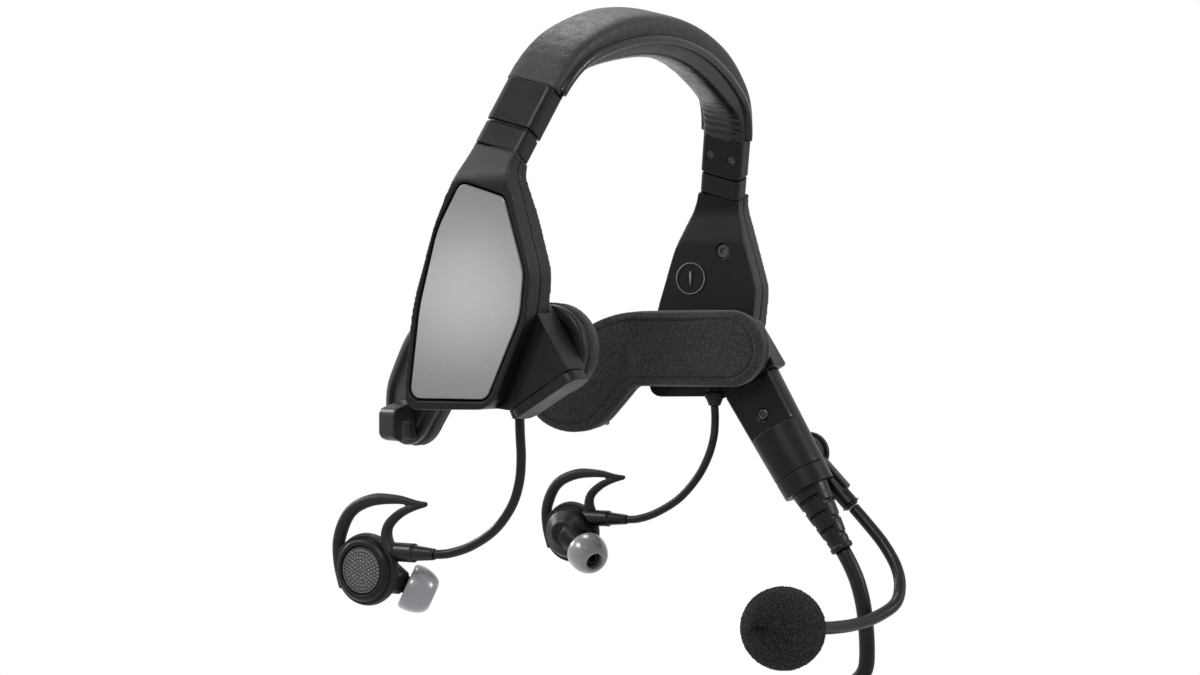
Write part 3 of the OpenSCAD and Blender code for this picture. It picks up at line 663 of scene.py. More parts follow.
def to_collar(side):
    """Matrix from a collar's own frame to the headset's."""
    splay = Matrix.Rotation(-side * settings().band.splay, 4, "Y")
    return band_frame() @ shift(side * COLLAR_AT[0], 0, 0) @ splay


def band_line(count):
    """The band's middle line: a flat top arc between two tighter shoulder arcs. Their radii solve
    run = R sin t + r (cos s - sin t) and rise = R (1 - cos t) + r (cos t - sin s)."""
    band = settings().band
    s, t = band.splay, TOP_TURN
    run = COLLAR_AT[0] - COLLAR_HALF * math.sin(s)
    rise = band.rise / MM - COLLAR_HALF * math.cos(s)
    top, shoulder = np.linalg.solve(
        [[math.sin(t), math.cos(s) - math.sin(t)], [1 - math.cos(t), math.cos(t) - math.sin(s)]],
        [run, rise])
    top_z = band.rise / MM - top
    centre = ((top - shoulder) * math.sin(t), top_z + (top - shoulder) * math.cos(t))
    edge = math.pi / 2 - t
    reach = [0, shoulder * (edge - s), shoulder * (edge - s) + 2 * t * top,
             2 * shoulder * (edge - s) + 2 * t * top]
    along = np.linspace(0, reach[-1], count)
    angle = np.interp(along, reach, [s, edge, math.pi - edge, math.pi - s])
    low, high = angle < edge, angle > math.pi - edge
    x0 = np.where(low, centre[0], np.where(high, -centre[0], 0))
    z0 = np.where(low | high, centre[1], top_z)
    radius = np.where(low | high, shoulder, top)
    normal = np.stack((np.cos(angle), np.sin(angle)), axis=1)
    line = np.stack((x0, z0), axis=1) + radius[:, None] * normal
    from_end = np.minimum(along, reach[-1] - along)
    return line, normal, from_end


def band_taper(from_end):
    """Share of the full thickness: full over the head and less near the collars."""
    t = np.clip(from_end / 42, 0, 1)
    low = settings().band.taper
    return low + (1 - low) * t * t * (3 - 2 * t)


def band_place(line, normal, out, across):
    """Points out from the band's line and across it, in the headset's frame."""
    flat = np.stack(np.broadcast_arrays(line[:, None, 0] + normal[:, None, 0] * out, across,
                                        line[:, None, 1] + normal[:, None, 1] * out), axis=-1)
    return moved(flat.reshape(-1, 3), band_frame())


def band_held(points, line, normal, from_end):
    """The corners of the inner cushion that stay: its upper side and its two ends. A corner's
    place is taken from the nearest point of the band's line, out = (corner - line) . normal."""
    flat = moved(points, band_frame().inverted())[:, [0, 2]]
    near = np.argmin(((flat[:, None] - line[None]) ** 2).sum(axis=2), axis=1)
    out = ((flat - line[near]) * normal[near]).sum(axis=1)
    return (out > -3.0 * band_taper(from_end)[near]) | (from_end[near] < 2)


def closed_ends(rings, columns):
    """Adds a smaller ring and a middle point's ring at each end of a swept form, which closes it."""
    rings = rings.reshape(-1, columns, 3)
    caps = []
    for ring in (rings[0], rings[-1]):
        middle = ring.mean(axis=0)
        caps.append((np.repeat(middle[None], columns, axis=0), middle + (ring - middle) * 0.9))
    (first, near_first), (last, near_last) = caps
    return np.concatenate((first[None], near_first[None], rings, near_last[None], last[None]))


def swept(name, points, columns, node):
    """A closed piece from the rings of a swept form."""
    points = closed_ends(points, columns)
    return piece(name, points.reshape(-1, 3), grid_faces(len(points), columns), node)


def power(value, share):
    """Signed power, which squares up a circle's sine or cosine."""
    return np.sign(value) * np.abs(value) ** share


def make_band():
    """Leather cover, smooth inner cushion and the two welts between them."""
    band = settings().band
    columns = 56
    line, normal, from_end = band_line(190)
    taper = band_taper(from_end)[:, None]
    angle = around(columns)[None, :]
    sine, cosine = np.sin(angle), np.cos(angle)
    half = band.width / MM / 2
    cover = band.cover / MM
    crown = 0.5 * (1 - cosine ** 2) * (sine > 0)
    out = 0.55 + np.where(sine > 0, (cover - 0.55) * power(sine, 0.5), 0.7 * power(sine, 0.7))
    out = out * taper + crown * 0.3
    ripple = np.exp(-from_end / 9)[:, None] * np.sin(from_end[:, None] * 1.7 + 2.2 * cosine)
    across = half * power(cosine, 0.42)
    points = band_place(line, normal, out + 0.1 * ripple, across)
    made = swept("headband_leather_cover", points, columns, "headband_cover")

    deep = band.cushion / MM
    low = sine < 0
    out = -2.2 + np.where(low, (deep - 2.2) * power(sine, 0.6), 0.6 * power(sine, 0.8))
    narrow = 1 - 0.16 * np.clip(-sine, 0, 1)
    folds = np.exp(-((from_end[:, None] - 6) / 9) ** 2) * np.sin(
        from_end[:, None] * 1.9 + 1.5 * np.sin(3 * cosine)) * np.clip(-sine + 0.2, 0, 1)
    across = half * 0.965 * power(cosine, 0.5) * narrow
    points = band_place(line, normal, out * taper + 0.28 * folds, across)
    made = swept("headband_inner_cushion", points, columns, "headband_cushion")
    swell(made, band_held(corners_of(made), line, normal, from_end), 0.35)

    for side, name in ((1, "rear"), (-1, "front")):
        reach = band_place(line, normal, -0.85 * taper, side * (half - 0.2))
        points, faces = tube(reach[1:-1], band.welt / MM, 12)
        piece(f"headband_{name}_welt", points, faces, None, "headband", "leather",
              look="padding")
    kept_node("headband_spring", "band_steel")


# ---- Collars, slides and pods ----


def collar_gap_shade(name, side):
    """A dark sleeve of painted shade in the gap under a collar, round the tongue, standing in for the
    shade there. Its outline squares up a
    circle: x = a cos^0.35, y = b sin^0.35."""
    sides = 64
    angle = around(sides)
    outline = np.stack((power(np.cos(angle), 0.35), power(np.sin(angle), 0.35)), axis=1)
    outer, inner = outline * (3.3, 7.0), outline * (2.1, 5.8)
    low, high = -COLLAR_HALF - 0.75, -COLLAR_HALF + 0.3
    rings = [(inner, low), (outer, low), (outer, high), (inner, high), (inner, low)]
    points = np.concatenate([np.column_stack((ring, np.full(sides, z))) for ring, z in rings])
    piece(f"{name}_collar_gap_shade", moved(points, to_collar(side)), grid_faces(5, sides), None,
          "headband", "dark_plastic")


def make_collars():
    """Collars, slide caps, tongues, the dark sleeves of painted shade in the gaps between them and the
    screws in the collars.
    """
    for name, side in SIDES:
        soft_form(f"{name}_collar", 0.28, 3)
        # a dark sleeve of painted shade in the gap under the collar
        collar_gap_shade(name, side)
        edged(f"{name}_slider_cap", 0.4)
        kept_node(f"{name}_tongue", "band_steel")
    edged("collar_screws", 0.12, 2)


def ring_mark(name, side, bars):
    """A printed ring on the inside of a pod, with one bar on the left and two on the right."""
    at = np.array((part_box("left_inner_shell")[0].x / MM - 0.03, 1.5, 20.8))
    sides = 72
    angle = around(sides)
    rings = [(5.15, 0), (5.15, 0.06), (5.55, 0.06), (5.55, 0)]
    points = np.concatenate([np.stack((np.full(sides, -up), r * np.cos(angle), r * np.sin(angle)),
                                      axis=1) for r, up in rings])
    faces = grid_faces(4, sides).tolist()
    for k in range(bars):
        middle = (k - (bars - 1) / 2) * 1.9
        base = len(points)
        block = np.array([(-u, middle + y, z) for u in (0, 0.06) for y in (-0.4, 0.4)
                          for z in (-2.4, 2.4)])
        points = np.concatenate((points, block))
        faces += [[base + c for c in quad] for quad in (
            (0, 1, 3, 2), (4, 6, 7, 5), (0, 4, 5, 1), (2, 3, 7, 6), (0, 2, 6, 4), (1, 5, 7, 3))]
    points = (points + at) * (side, 1, 1)
    piece(f"{name}_side_mark", points, faces, None, f"{name}_arm", "face_grey", look="mark")


def make_pods():
    """Pod shells, the grey plates, the port housings and their screws and marks."""
    for name, side in SIDES:
        soft_form(f"{name}_outer_shell", 0.4, 3)
        soft_form(f"{name}_inner_shell", 0.4, 3)
        edged(f"{name}_face_plate", 0.3)
        soft_form(f"{name}_port_housing", 0.3, 4)
        edged(f"{name}_pod_screws", 0.15, 2)
        edged(f"{name}_grommet", 0.2, 2)
        ring_mark(name, side, 1 if side > 0 else 2)
    edged("right_port_cover", 0.4)


# ---- Pads ----

PAD_FRONT = np.array((-18.0, -3.5))
PAD_KNEE = np.array((23.0, -3.5))
PAD_LOBE = np.array((36.0, -19.5))
PAD_FLAT_Y = -5.0
PAD_TURN = 18.0
PAD_GROOVE = 9.95
PAD_WELT = 10.8
PAD_SEAM = 3.3
PAD_STUD = [(0, 62.1), (6.5, 62.1), (6.5, 66.6), (4, 66.7), (4, 68.7), (0, 68.7)]


def pad_loop():
    """The pad's spine in Y and Z, straight, bent and straight, walked up one side and down the
    other. Gives the spine point and the outward direction of each point of the loop."""
    away = (PAD_LOBE - PAD_KNEE) / np.linalg.norm(PAD_LOBE - PAD_KNEE)
    fall = math.acos(away[0])
    cut = PAD_TURN * math.tan(fall / 2)
    start = PAD_KNEE - (cut, 0)
    bend = np.linspace(0, fall, 14)
    arc = start + PAD_TURN * np.stack((np.sin(bend), np.cos(bend) - 1), axis=1)
    front = np.linspace(PAD_FRONT, start, 27)[:-1]
    rear = arc[-1] + np.linspace(0, 1, 10)[1:, None] * (PAD_LOBE - arc[-1])
    spine = np.vstack((front, arc, rear))
    heading = np.gradient(spine, axis=0)
    heading /= np.linalg.norm(heading, axis=1, keepdims=True)
    normal = np.stack((-heading[:, 1], heading[:, 0]), axis=1)
    half = np.linspace(math.pi / 2, -math.pi / 2, 22)[1:-1]

    def cap(direction):
        """Directions round the half circle at an end of the spine."""
        side = np.array((-direction[1], direction[0]))
        return np.cos(half)[:, None] * direction + np.sin(half)[:, None] * side

    centre = np.vstack((spine, np.repeat(spine[-1:], 20, 0), spine[::-1],
                        np.repeat(spine[:1], 20, 0)))
    outward = np.vstack((normal, cap(heading[-1]), -normal[::-1], cap(-heading[0])))
    return centre, outward


def pad_form(profile):
    """A form whose section, as (distance from the spine, depth from the pad's face), is carried
    round the loop and then bent round the head: x = face - R + sqrt((R + depth)^2 - y^2)."""
    pad = settings().pad
    centre, outward = pad_loop()
    profile = np.asarray(profile, float)
    flat = centre[None] + profile[:, 0][:, None, None] * outward[None]
    depth = np.broadcast_to(profile[:, 1][:, None], flat.shape[:2])
    y = np.maximum(flat[..., 0] - PAD_FLAT_Y, 0)
    radius = pad.bend / MM
    x = pad.face / MM - radius + np.sqrt((radius + depth) ** 2 - y**2)
    points = np.stack((x, flat[..., 0], flat[..., 1]), axis=-1)
    return points.reshape(-1, 3), grid_faces(len(profile), len(centre))


def pad_offset(points):
    """Distance of each point from the pad's spine, taken in Y and Z."""
    spine, _ = pad_loop()
    flat = points[:, 1:]
    near = np.full(len(points), np.inf)
    for k in range(len(spine) // 2 + 1):
        near = np.minimum(near, np.linalg.norm(flat - spine[k], axis=1))
    return near


def make_pads():
    """Microsuede cushions with a flattened welt, their carriers, studs and cable clips."""
    pad = settings().pad
    half = pad.height / MM / 2
    deep = pad.depth / MM
    for name, side in SIDES:
        face = [(half - 0.1, 1.9), (half - 0.3, 1.2), (half - 0.75, 0.65), (half - 1.3, 0.4)]
        face += [(rho, 0.28 - 0.75 * (1 - (rho / half) ** 2)) for rho in (
            11.2, 10.85, 10.5, 10.2, 9.95, 9.7, 9.4, 9.0, 8.0, 6.5, 5.0, 3.4, 1.7, 0)]
        section = [(0, deep), (6, deep), (10, deep), (half - 1.2, deep - 0.1),
                   (half - 0.5, deep - 0.5), (half - 0.1, deep - 1.4), (half, deep - 2.6)] + face
        points, faces = pad_form(section)
        made = piece(f"{name}_suede_pad", points * (side, 1, 1), faces, f"{name}_pad_cushion")
        start = corners_of(made)
        offset = pad_offset(start)
        depth = np.abs(start[:, 0]) - pad.face / MM
        behind = np.clip(start[:, 1] - PAD_FLAT_Y, 0, None)
        depth = depth + behind**2 / (2 * pad.bend / MM)
        swell(made, (depth > deep - 1.0) & (offset < half - 0.2), pad.swell / MM)
        groove = -0.62 * np.exp(-((offset - PAD_GROOVE) / 0.34) ** 2)
        welt = 0.3 * np.exp(-((offset - PAD_WELT) / 0.5) ** 2)
        front = 1 / (1 + np.exp((depth - 1.6) * 4))
        edge_line = -0.22 * np.exp(-((depth - PAD_SEAM) / 0.35) ** 2) * (offset > half - 1)
        relief = (groove + welt) * front + edge_line
        set_corners(made, corners_of(made) + vectors_of(made, "normal") * relief[:, None])

        back = deep - 0.1
        top = deep + 3.3
        rim = [(0, back), (8, back), (half - 1.2, back), (half - 0.7, back + 0.3),
               (half - 0.55, back + 0.8), (half - 0.55, top - 0.9), (half - 0.75, top - 0.3),
               (half - 1.3, top), (9.7, top), (9.3, top - 0.15), (8.9, top - 0.95),
               (8.6, top - 1.1), (5.5, top - 1.1), (2.5, top - 1.1), (0, top - 1.1)]
        points, faces = pad_form(rim)
        piece(f"{name}_pad_shell", points * (side, 1, 1), faces, f"{name}_pad_carrier")
        turned(f"{name}_pad_stud", PAD_STUD, 0.3, 48, shift(0, -1, -3.5) @ turn(90, "Y"), side,
               body=f"{name}_pad", slot="black_plastic")
        soft_form(f"{name}_cable_clip", 0.35, 14)


# ---- Earbuds ----

BUD_AT = (58.5, 45.0, -68.5)
BUD_OUT = 5.0


def to_nozzle():
    """Matrix from the left nozzle's frame to the headset's."""
    return shift(*BUD_AT) @ turn(57.9, "Z") @ turn(-90 - 24.6, "Y")


def perforated_disc(radius, rings, hole, depth):
    """A domed disc with rings of round holes. Ring k has 6 k holes; each hole is an eight-sided
    pit in a cell of the polar grid, whose eight border points lie on the cell's sides. At the
    distance r the dome's height is 0.3 (1 - (r / radius)^2)."""
    pitch = radius / (rings + 0.5)
    eighths = np.arange(8) * math.pi / 4
    border = np.array([(1, 0), (1, 1), (0, 1), (-1, 1), (-1, 0), (-1, -1), (0, -1), (1, -1)])
    pairs = [(j, (j + 1) % 8) for j in range(8)]
    pit = [(j + low, k + low, k + low + 8, j + low + 8) for j, k in pairs for low in (0, 8)]
    pit.append(tuple(range(16, 24)))
    points, faces, made = [], [], 0
    for ring in range(1, rings + 1):
        middle, count = ring * pitch, 6 * ring
        about = 2 * math.pi * np.arange(count)[:, None] / count
        reach = middle + np.hstack((border[:, 0] * pitch / 2, hole * np.cos(eighths)))
        wide = np.hstack((border[:, 1] * math.pi / count, hole * np.sin(eighths) / middle)) + about
        flat = np.stack((reach * np.cos(wide), reach * np.sin(wide)), axis=-1)
        flat = np.concatenate((flat, flat[:, 8:]), axis=1)
        dome = 0.3 * (1 - (np.linalg.norm(flat, axis=-1, keepdims=True) / radius) ** 2)
        dome[:, 16:] -= depth
        points.append(np.concatenate((flat, dome), axis=-1).reshape(-1, 3))
        faces += [[24 * (made + k) + corner for corner in face] for k in range(count)
                  for face in pit]
        made += count
    inner = np.arange(12) * math.pi / 6
    points.append(np.column_stack((pitch / 2 * np.cos(inner), pitch / 2 * np.sin(inner),
                                   np.full(12, 0.3))))
    faces.append([24 * made + j for j in range(12)])
    return np.vstack(points), faces


WING_OUTER = [(1.5, 8.5, -6.0), (1.5, 10.4, 1.5), (1.5, 10.2, 9.0), (1.5, 6.2, 16.6),
              (1.5, -1.5, 20.4), (1.5, -10.5, 21.0), (1.5, -17.0, 20.2), (1.5, -21.3, 20.0)]
WING_INNER = [(1.5, -8.6, 5.2), (1.5, -7.0, 9.6), (1.5, -7.8, 13.4), (1.5, -11.6, 16.8),
              (1.5, -16.0, 18.7), (1.5, -20.6, 19.8)]


def make_wing(name, side):
    """A stretched silicone band round the bud with two tapering legs that meet in one tip."""
    band = lathe(eased([(9.3, -0.3), (10.4, -0.2), (10.8, 1.5), (10.4, 3.2), (9.3, 3.3),
                        (9.3, -0.3)], 0.3), 72)
    points, faces = [moved(band[0], turn(90, "Y"))], [band[1]]
    for route, radii in ((WING_OUTER, (1.6, 2.0, 1.8, 0.7)), (WING_INNER, (2.2, 1.6, 1.3, 0.7))):
        path = evenly(smooth_route(route), 0.4)
        radius = np.interp(np.linspace(0, 3, len(path)), range(4), radii)
        leg, quads = tube(path, radius, 20)
        faces.append(quads + sum(len(part) for part in points))
        points.append(leg)
    points = (np.vstack(points) + BUD_AT) * (side, 1, 1)
    made = piece(f"{name}_silicone_wing", points, np.vstack(faces), f"{name}_ear_wing")
    blended(made, 0.24, 7)


def make_earbuds():
    """Bud housings, perforated grilles, wings, boots and the grey tips."""
    for name, side in SIDES:
        soft_form(f"{name}_bud_housing", 0.32, 4)
        on_bud = shift(*BUD_AT) @ turn(90, "Y")
        disc, faces = perforated_disc(6.7, 6, 0.3, 0.35)
        disc = moved(disc, on_bud @ shift(0, 0, BUD_OUT - 0.35)) * (side, 1, 1)
        grille = piece(f"{name}_bud_grille_disc", disc, faces, f"{name}_bud_grille")
        if side < 0:
            grille.data.flip_normals()
        seat = [(0, BUD_OUT - 1.0), (7.2, BUD_OUT - 1.0), (7.2, BUD_OUT - 0.85),
                (6.72, BUD_OUT - 0.8), (6.72, BUD_OUT - 0.36), (6.0, BUD_OUT - 0.5),
                (0, BUD_OUT - 0.6)]
        turned(f"{name}_bud_grille_seat", seat, 0.04, 64, on_bud, side, body=f"{name}_earbud",
               slot="grille_steel", look="dark_plastic")
        kept_node(f"{name}_bud_driver", "driver_metal")
        soft_form(f"{name}_bud_boot", 0.25, 3)
        make_wing(name, side)
        r = 7.0
        dome = [(3.5 + (r - 3.5) * math.cos(t), 2.2 + 6.75 * math.sin(t))
                for t in np.linspace(0, math.pi / 2, 14)]
        tip = [(2.9, 0.9), (3.0, 5.5), (r - 1.5, 1.1), (r - 0.7, 0.0), (r - 0.15, 0.9), *dome,
               (3.1, 8.8), (2.9, 8.2), (2.9, 0.9)]
        turned(f"{name}_silicone_tip", tip, 0.5, 72, to_nozzle() @ shift(0, 0, 11.5), side,
               node=f"{name}_ear_tip")


# ---- Module, boot and boom ----

PORT_AT = (68.6, -22.2, -14.6)
MODULE_LENGTH = 41.0
BOOT_LENGTH = 23.0


def to_module():
    """Matrix from the cable module's frame to the headset's."""
    return shift(*PORT_AT) @ turn(-31, "X") @ shift(0, 1.5, 0)


def strain_relief():
    """A tapering boot with bands of staggered slots, ending in a flange. Over the angle a and the
    height z its radius is a cone's, less a pit where both the band and the slot are open."""
    rows, columns = 190, 120
    first, pitch, bands = 2.2, 2.9, 6
    z = np.linspace(0, BOOT_LENGTH, rows)[:, None]
    a = around(columns)[None, :]
    cone = 6.5 - 3.0 * (z / 21.3)
    band = np.floor((z - first) / pitch)
    share = (z - first) / pitch - band
    in_band = np.clip((0.5 - np.abs(share - 0.5) - 0.26) / 0.1, 0, 1)
    in_band = in_band * (z > first) * (z < first + bands * pitch)
    slot = np.cos(2 * a + math.pi * (band % 2)) - 0.02
    in_slot = np.clip(slot / 0.35, 0, 1)
    radius = cone - 1.15 * in_band * in_slot
    flange = 3.9 - 0.9 * np.clip(np.abs(z - 22.0) - 0.55, 0, 1)
    radius = np.where(z > 21.0, flange, radius)
    points = np.stack(np.broadcast_arrays(radius * np.cos(a), radius * np.sin(a), -z), axis=-1)
    points = closed_ends(points, columns)
    return points.reshape(-1, 3), grid_faces(len(points), columns)


def make_module():
    """Cable module with its flat saddle and screw, its end ring and the slotted boot."""
    edged("module_tube", 0.45)
    edged("module_saddle", 0.4)
    edged("module_end_ring", 0.35)
    points, faces = strain_relief()
    piece("slotted_cable_boot", moved(points, to_module() @ shift(0, 0, -MODULE_LENGTH)), faces,
          "cable_boot")
    head = [(0, 0.75), (0.55, 0.75), (0.75, 0.35), (0.95, 0.75), (1.55, 0.7), (2.0, 0.35),
            (2.05, -0.4), (0, -0.4)]
    on_saddle = to_module() @ shift(-4.45, 0, -12) @ turn(-90, "Y")
    turned("saddle_screw", head, 0.12, 40, on_saddle, body="left_arm", slot="screw_steel")


NECK_ROUTE = [(81.5, -52.7, -57.4), (81.5, -57.5, -62.4), (81, -63.5, -69), (79.2, -68.5, -76),
              (76, -71, -82), (70, -71.5, -87), (60, -69, -90), (48, -66.5, -91),
              (36, -64.5, -90.5), (24, -63, -89.2), (17, -62, -88.4)]
SCREEN_AT = (3.5, -60.4, -86.6)
FOAM_HALF_WIDTH = 12.3
FOAM_HALF_LENGTH = 13.5


def make_boom():
    """Boom arm, knob, gooseneck and the foam windscreen."""
    edged("boom_arm", 0.5)
    edged("boom_knob", 0.35)
    kept_node("mic_capsule", "driver_metal")
    path = evenly(smooth_route(NECK_ROUTE), 1.0)
    points, faces = tube(path, settings().cord.neck / MM / 2, 24)
    piece("boom_gooseneck", points, faces, "gooseneck")
    rows, columns = 150, 230
    fall = np.linspace(0, math.pi, rows)[:, None]
    about = around(columns)[None, :]
    rough = np.random.default_rng(11).normal(0, 0.11, (rows, columns))
    rough[[0, -1]] = 0
    wide = np.sin(fall) * (FOAM_HALF_WIDTH + rough)
    ball = np.stack((wide * np.cos(about), wide * np.sin(about),
                     np.cos(fall) * (FOAM_HALF_LENGTH + rough)), axis=-1)
    axis = Vector(SCREEN_AT) - Vector(NECK_ROUTE[-1])
    placed = shift(*SCREEN_AT) @ axis.to_track_quat("Z", "Y").to_matrix().to_4x4()
    made = piece("foam_windscreen", moved(ball.reshape(-1, 3), placed),
                 grid_faces(rows, columns), "windscreen")
    collar = [(2.1, -14.6), (3.3, -14.4), (3.6, -13.4), (3.6, -12.2), (2.1, -12.0), (2.1, -14.6)]
    turned("windscreen_collar", collar, 0.2, 40, placed, body="boom", slot="cable_rubber")


# ---- Cords ----

CABLE_ROUTE = [(68.6, -53.8, -70.3), (68.6, -56.4, -74.8), (68.6, -59, -80.5), (68.6, -61, -88),
               (68.6, -62, -96), (68.6, -62.3, -104), (68.6, -61.6, -109.5), (68.6, -58, -113.8),
               (68.6, -51.5, -116.5), (68.6, -45.5, -121), (68.6, -42.6, -129),
               (68.6, -43.1, -136)]
TAIL_ROUTE = [(73.4, -81.4, -160), (71.8, -84.4, -153.5), (70, -88.5, -148.5),
              (68.9, -93.5, -146.6), (68.6, -97.8, -149), (68.6, -99.8, -154),
              (68.6, -100, -160)]
HANK_MID = (68.6, -62.3, -173.7)
HANK_RUN = 70.0
HANK_TURN = 31.0
STRAIGHT = 0.295
SHIFT_FIRST = 0.91
SHIFT_STEP = 0.05
SHIFT_SHARE = 0.045
EXIT_PHASE = 0.684
EAR_ROUTE = [(62.8, -9.6, -22.8), (62.8, -9.8, -28), (62, -9.6, -34), (60.5, -8, -41),
             (59, -4.5, -48), (58, 1.8, -55), (57.5, 10, -60), (58, 17, -62.4), (58.5, 21.9, -63)]


def hank_path():
    """Six turns of the folded cable, two beside each other in three layers. A turn is a straight
    run, a half circle, a run and a half circle, and near its end it steps into the next lane,
    each step a little earlier than the one before, so that no two turns share a lane."""
    pitch = settings().cord.cable / MM + 0.1
    wide, tight = (HANK_TURN + pitch) / 2, (HANK_TURN - pitch) / 2
    lanes = np.array([(0, wide), (-pitch, wide), (-pitch, tight), (0, tight), (pitch, tight),
                      (pitch, wide), (pitch, wide)])
    whole = np.arange(0, 5 + EXIT_PHASE, 0.008)
    lap = np.floor(whole).astype(int)
    phase = whole - lap
    ease = np.clip((phase - (SHIFT_FIRST - SHIFT_STEP * lap)) / SHIFT_SHARE, 0, 1)
    ease = ease * ease * (3 - 2 * ease)
    lane = lanes[lap] * (1 - ease)[:, None] + lanes[lap + 1] * ease[:, None]
    layer, radius = lane[:, 0], lane[:, 1]
    half = HANK_RUN / 2
    down = half - HANK_RUN * phase / STRAIGHT
    bottom = math.pi * (phase - STRAIGHT) / (0.5 - STRAIGHT)
    rise = -half + HANK_RUN * (phase - 0.5) / STRAIGHT
    top = math.pi * (phase - 0.5 - STRAIGHT) / (0.5 - STRAIGHT)
    part = [phase < STRAIGHT, phase < 0.5, phase < 0.5 + STRAIGHT]
    y = np.select(part, [radius, radius * np.cos(bottom), -radius], -radius * np.cos(top))
    z = np.select(part, [down, -half - radius * np.sin(bottom), rise], half + radius * np.sin(top))
    return np.stack((layer, y, z), axis=1) + HANK_MID


def make_cords():
    """The down cable with its hank, tie and plug, and the two ear cables."""
    cord = settings().cord
    coil = hank_path()
    lead = smooth_route(CABLE_ROUTE + [tuple(coil[3]), tuple(coil[5])])
    tail = smooth_route([tuple(coil[-4]), tuple(coil[-2])] + TAIL_ROUTE)
    whole = np.vstack((lead[:-1], coil[5:-4], tail))
    path = evenly(whole, 1.4)
    path[1:-1] = (path[:-2] + 2 * path[1:-1] + path[2:]) / 4
    points, faces = tube(path, cord.cable / MM / 2, 16)
    cable = piece("down_cable_cord", points, faces, "down_cable",
                  stands_for=("cable_hank", "cable_tail"))
    print("down cable", round(path_length(path)), "mm")
    tie = edged("cable_tie", 0.35)
    handle, finger = make_plug()
    for name, side in SIDES:
        route = evenly(smooth_route(np.array(EAR_ROUTE) * (side, 1, 1)), 0.8)
        points, faces = tube(route, cord.ear / MM / 2, 20)
        made = piece(f"{name}_ear_cable_cord", points, faces, f"{name}_ear_cable")


def make_plug():
    """The plug's grooved handle, its brass finger and the insulating rings on it."""
    low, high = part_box("plug_handle")
    middle = ((low + high) / 2 / MM).xy
    top = high.z / MM
    handle = [(0, 0), (2.9, 0), (3.2, -0.8), (4.4, -9), (6.0, -15.5), (6.8, -17)]
    for k in range(6):
        z = -20 - 3 * k
        handle += [(7.0, z), (7.0, z - 1.4), (6.55, z - 1.8), (6.55, z - 2.5)]
    handle += [(7.0, -38.5), (7.0, -41.3), (6.4, -41.9), (0, -41.95)]
    grip = turned("plug_grip", handle, 0.3, 56, shift(*middle, top), node="plug_handle")
    low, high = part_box("plug_finger")
    start = high.z / MM
    reach = start - low.z / MM
    r = (high.x - low.x) / MM / 2
    place = shift(*middle, start)
    shank = [(0, 0), (r, 0), (r, -reach + 11.4), (r - 0.25, -reach + 11.3),
             (r - 0.25, -reach + 10.4), (r - 0.1, -reach + 10.3), (r - 0.1, -reach + 6.6),
             (r - 0.45, -reach + 6.3), (r - 0.9, -reach + 5.4), (r - 0.3, -reach + 4.2),
             (r - 0.35, -reach + 3.2), (r - 1.9, -reach + 0.3), (0, -reach)]
    brass = turned("plug_finger_brass", shank, 0.15, 56, place, node="plug_finger")
    ring = [(r - 0.4, -reach + 10.35), (r + 0.01, -reach + 10.4), (r + 0.01, -reach + 11.35),
            (r - 0.4, -reach + 11.4), (r - 0.4, -reach + 10.35)]
    insulator = turned("plug_insulator", ring, 0, 56, place, body="left_arm",
                       slot="dark_plastic")
    return grip, (brass, insulator)


# ---- Stage ----

WORLD_DIM = 0.26
FLOOR_REACH = 3.0
SLIDE_REACH = 0.019
CAMERA_DROP = 0.0055
PLATE_LAMP = 0.84
PLATE_LAMP_SIZE = 0.06
PLATE_LAMP_PART = 26
FILL_LAMPS = [("front", (0.3, -0.85, 0.3), (0, 0, 0), 0.2, 1),
              ("rear", (0.1, 0.9, 0.3), (0, 0, 0), 0.2, 1),
              ("top", (0.3, 0.25, 0.85), (0, 0, 0.05), 0.3, 1),
              ("high", (-0.46, 0.62, 0.57), (-0.06, 0, 0.06), 0.26, 1.3)]

def white_for_camera(tree, dim, white, share=None):
    """The white shader for camera, glossy and transmission rays, and the dim one for the rest. A
    share socket, where given, says how much of the white a place takes."""
    rays = add_node(tree, "ShaderNodeLightPath").outputs
    total = rays["Is Camera Ray"]
    for kind in ("Is Glossy Ray", "Is Transmission Ray"):
        inputs = {0: total, 1: rays[kind]}
        total = add_node(tree, "ShaderNodeMath", inputs, operation="MAXIMUM").outputs[0]
    if share is not None:
        inputs = {0: total, 1: share}
        total = add_node(tree, "ShaderNodeMath", inputs, operation="MULTIPLY").outputs[0]
    return add_node(tree, "ShaderNodeMixShader", {"Fac": total, 1: dim, 2: white}).outputs[0]


def make_world():
    """A white backdrop, dimmer as a light than it looks."""
    world = bpy.data.worlds.new("studio")
    bpy.context.scene.world = world
    world.use_nodes = True
    tree = world.node_tree
    dim = tree.nodes["Background"]
    dim.inputs["Color"].default_value = WHITE
    dim.inputs["Strength"].default_value = WORLD_DIM
    white = add_node(tree, "ShaderNodeBackground", {"Color": WHITE})
    mixed = white_for_camera(tree, dim.outputs[0], white.outputs[0])
    tree.links.new(mixed, tree.nodes["World Output"].inputs["Surface"])


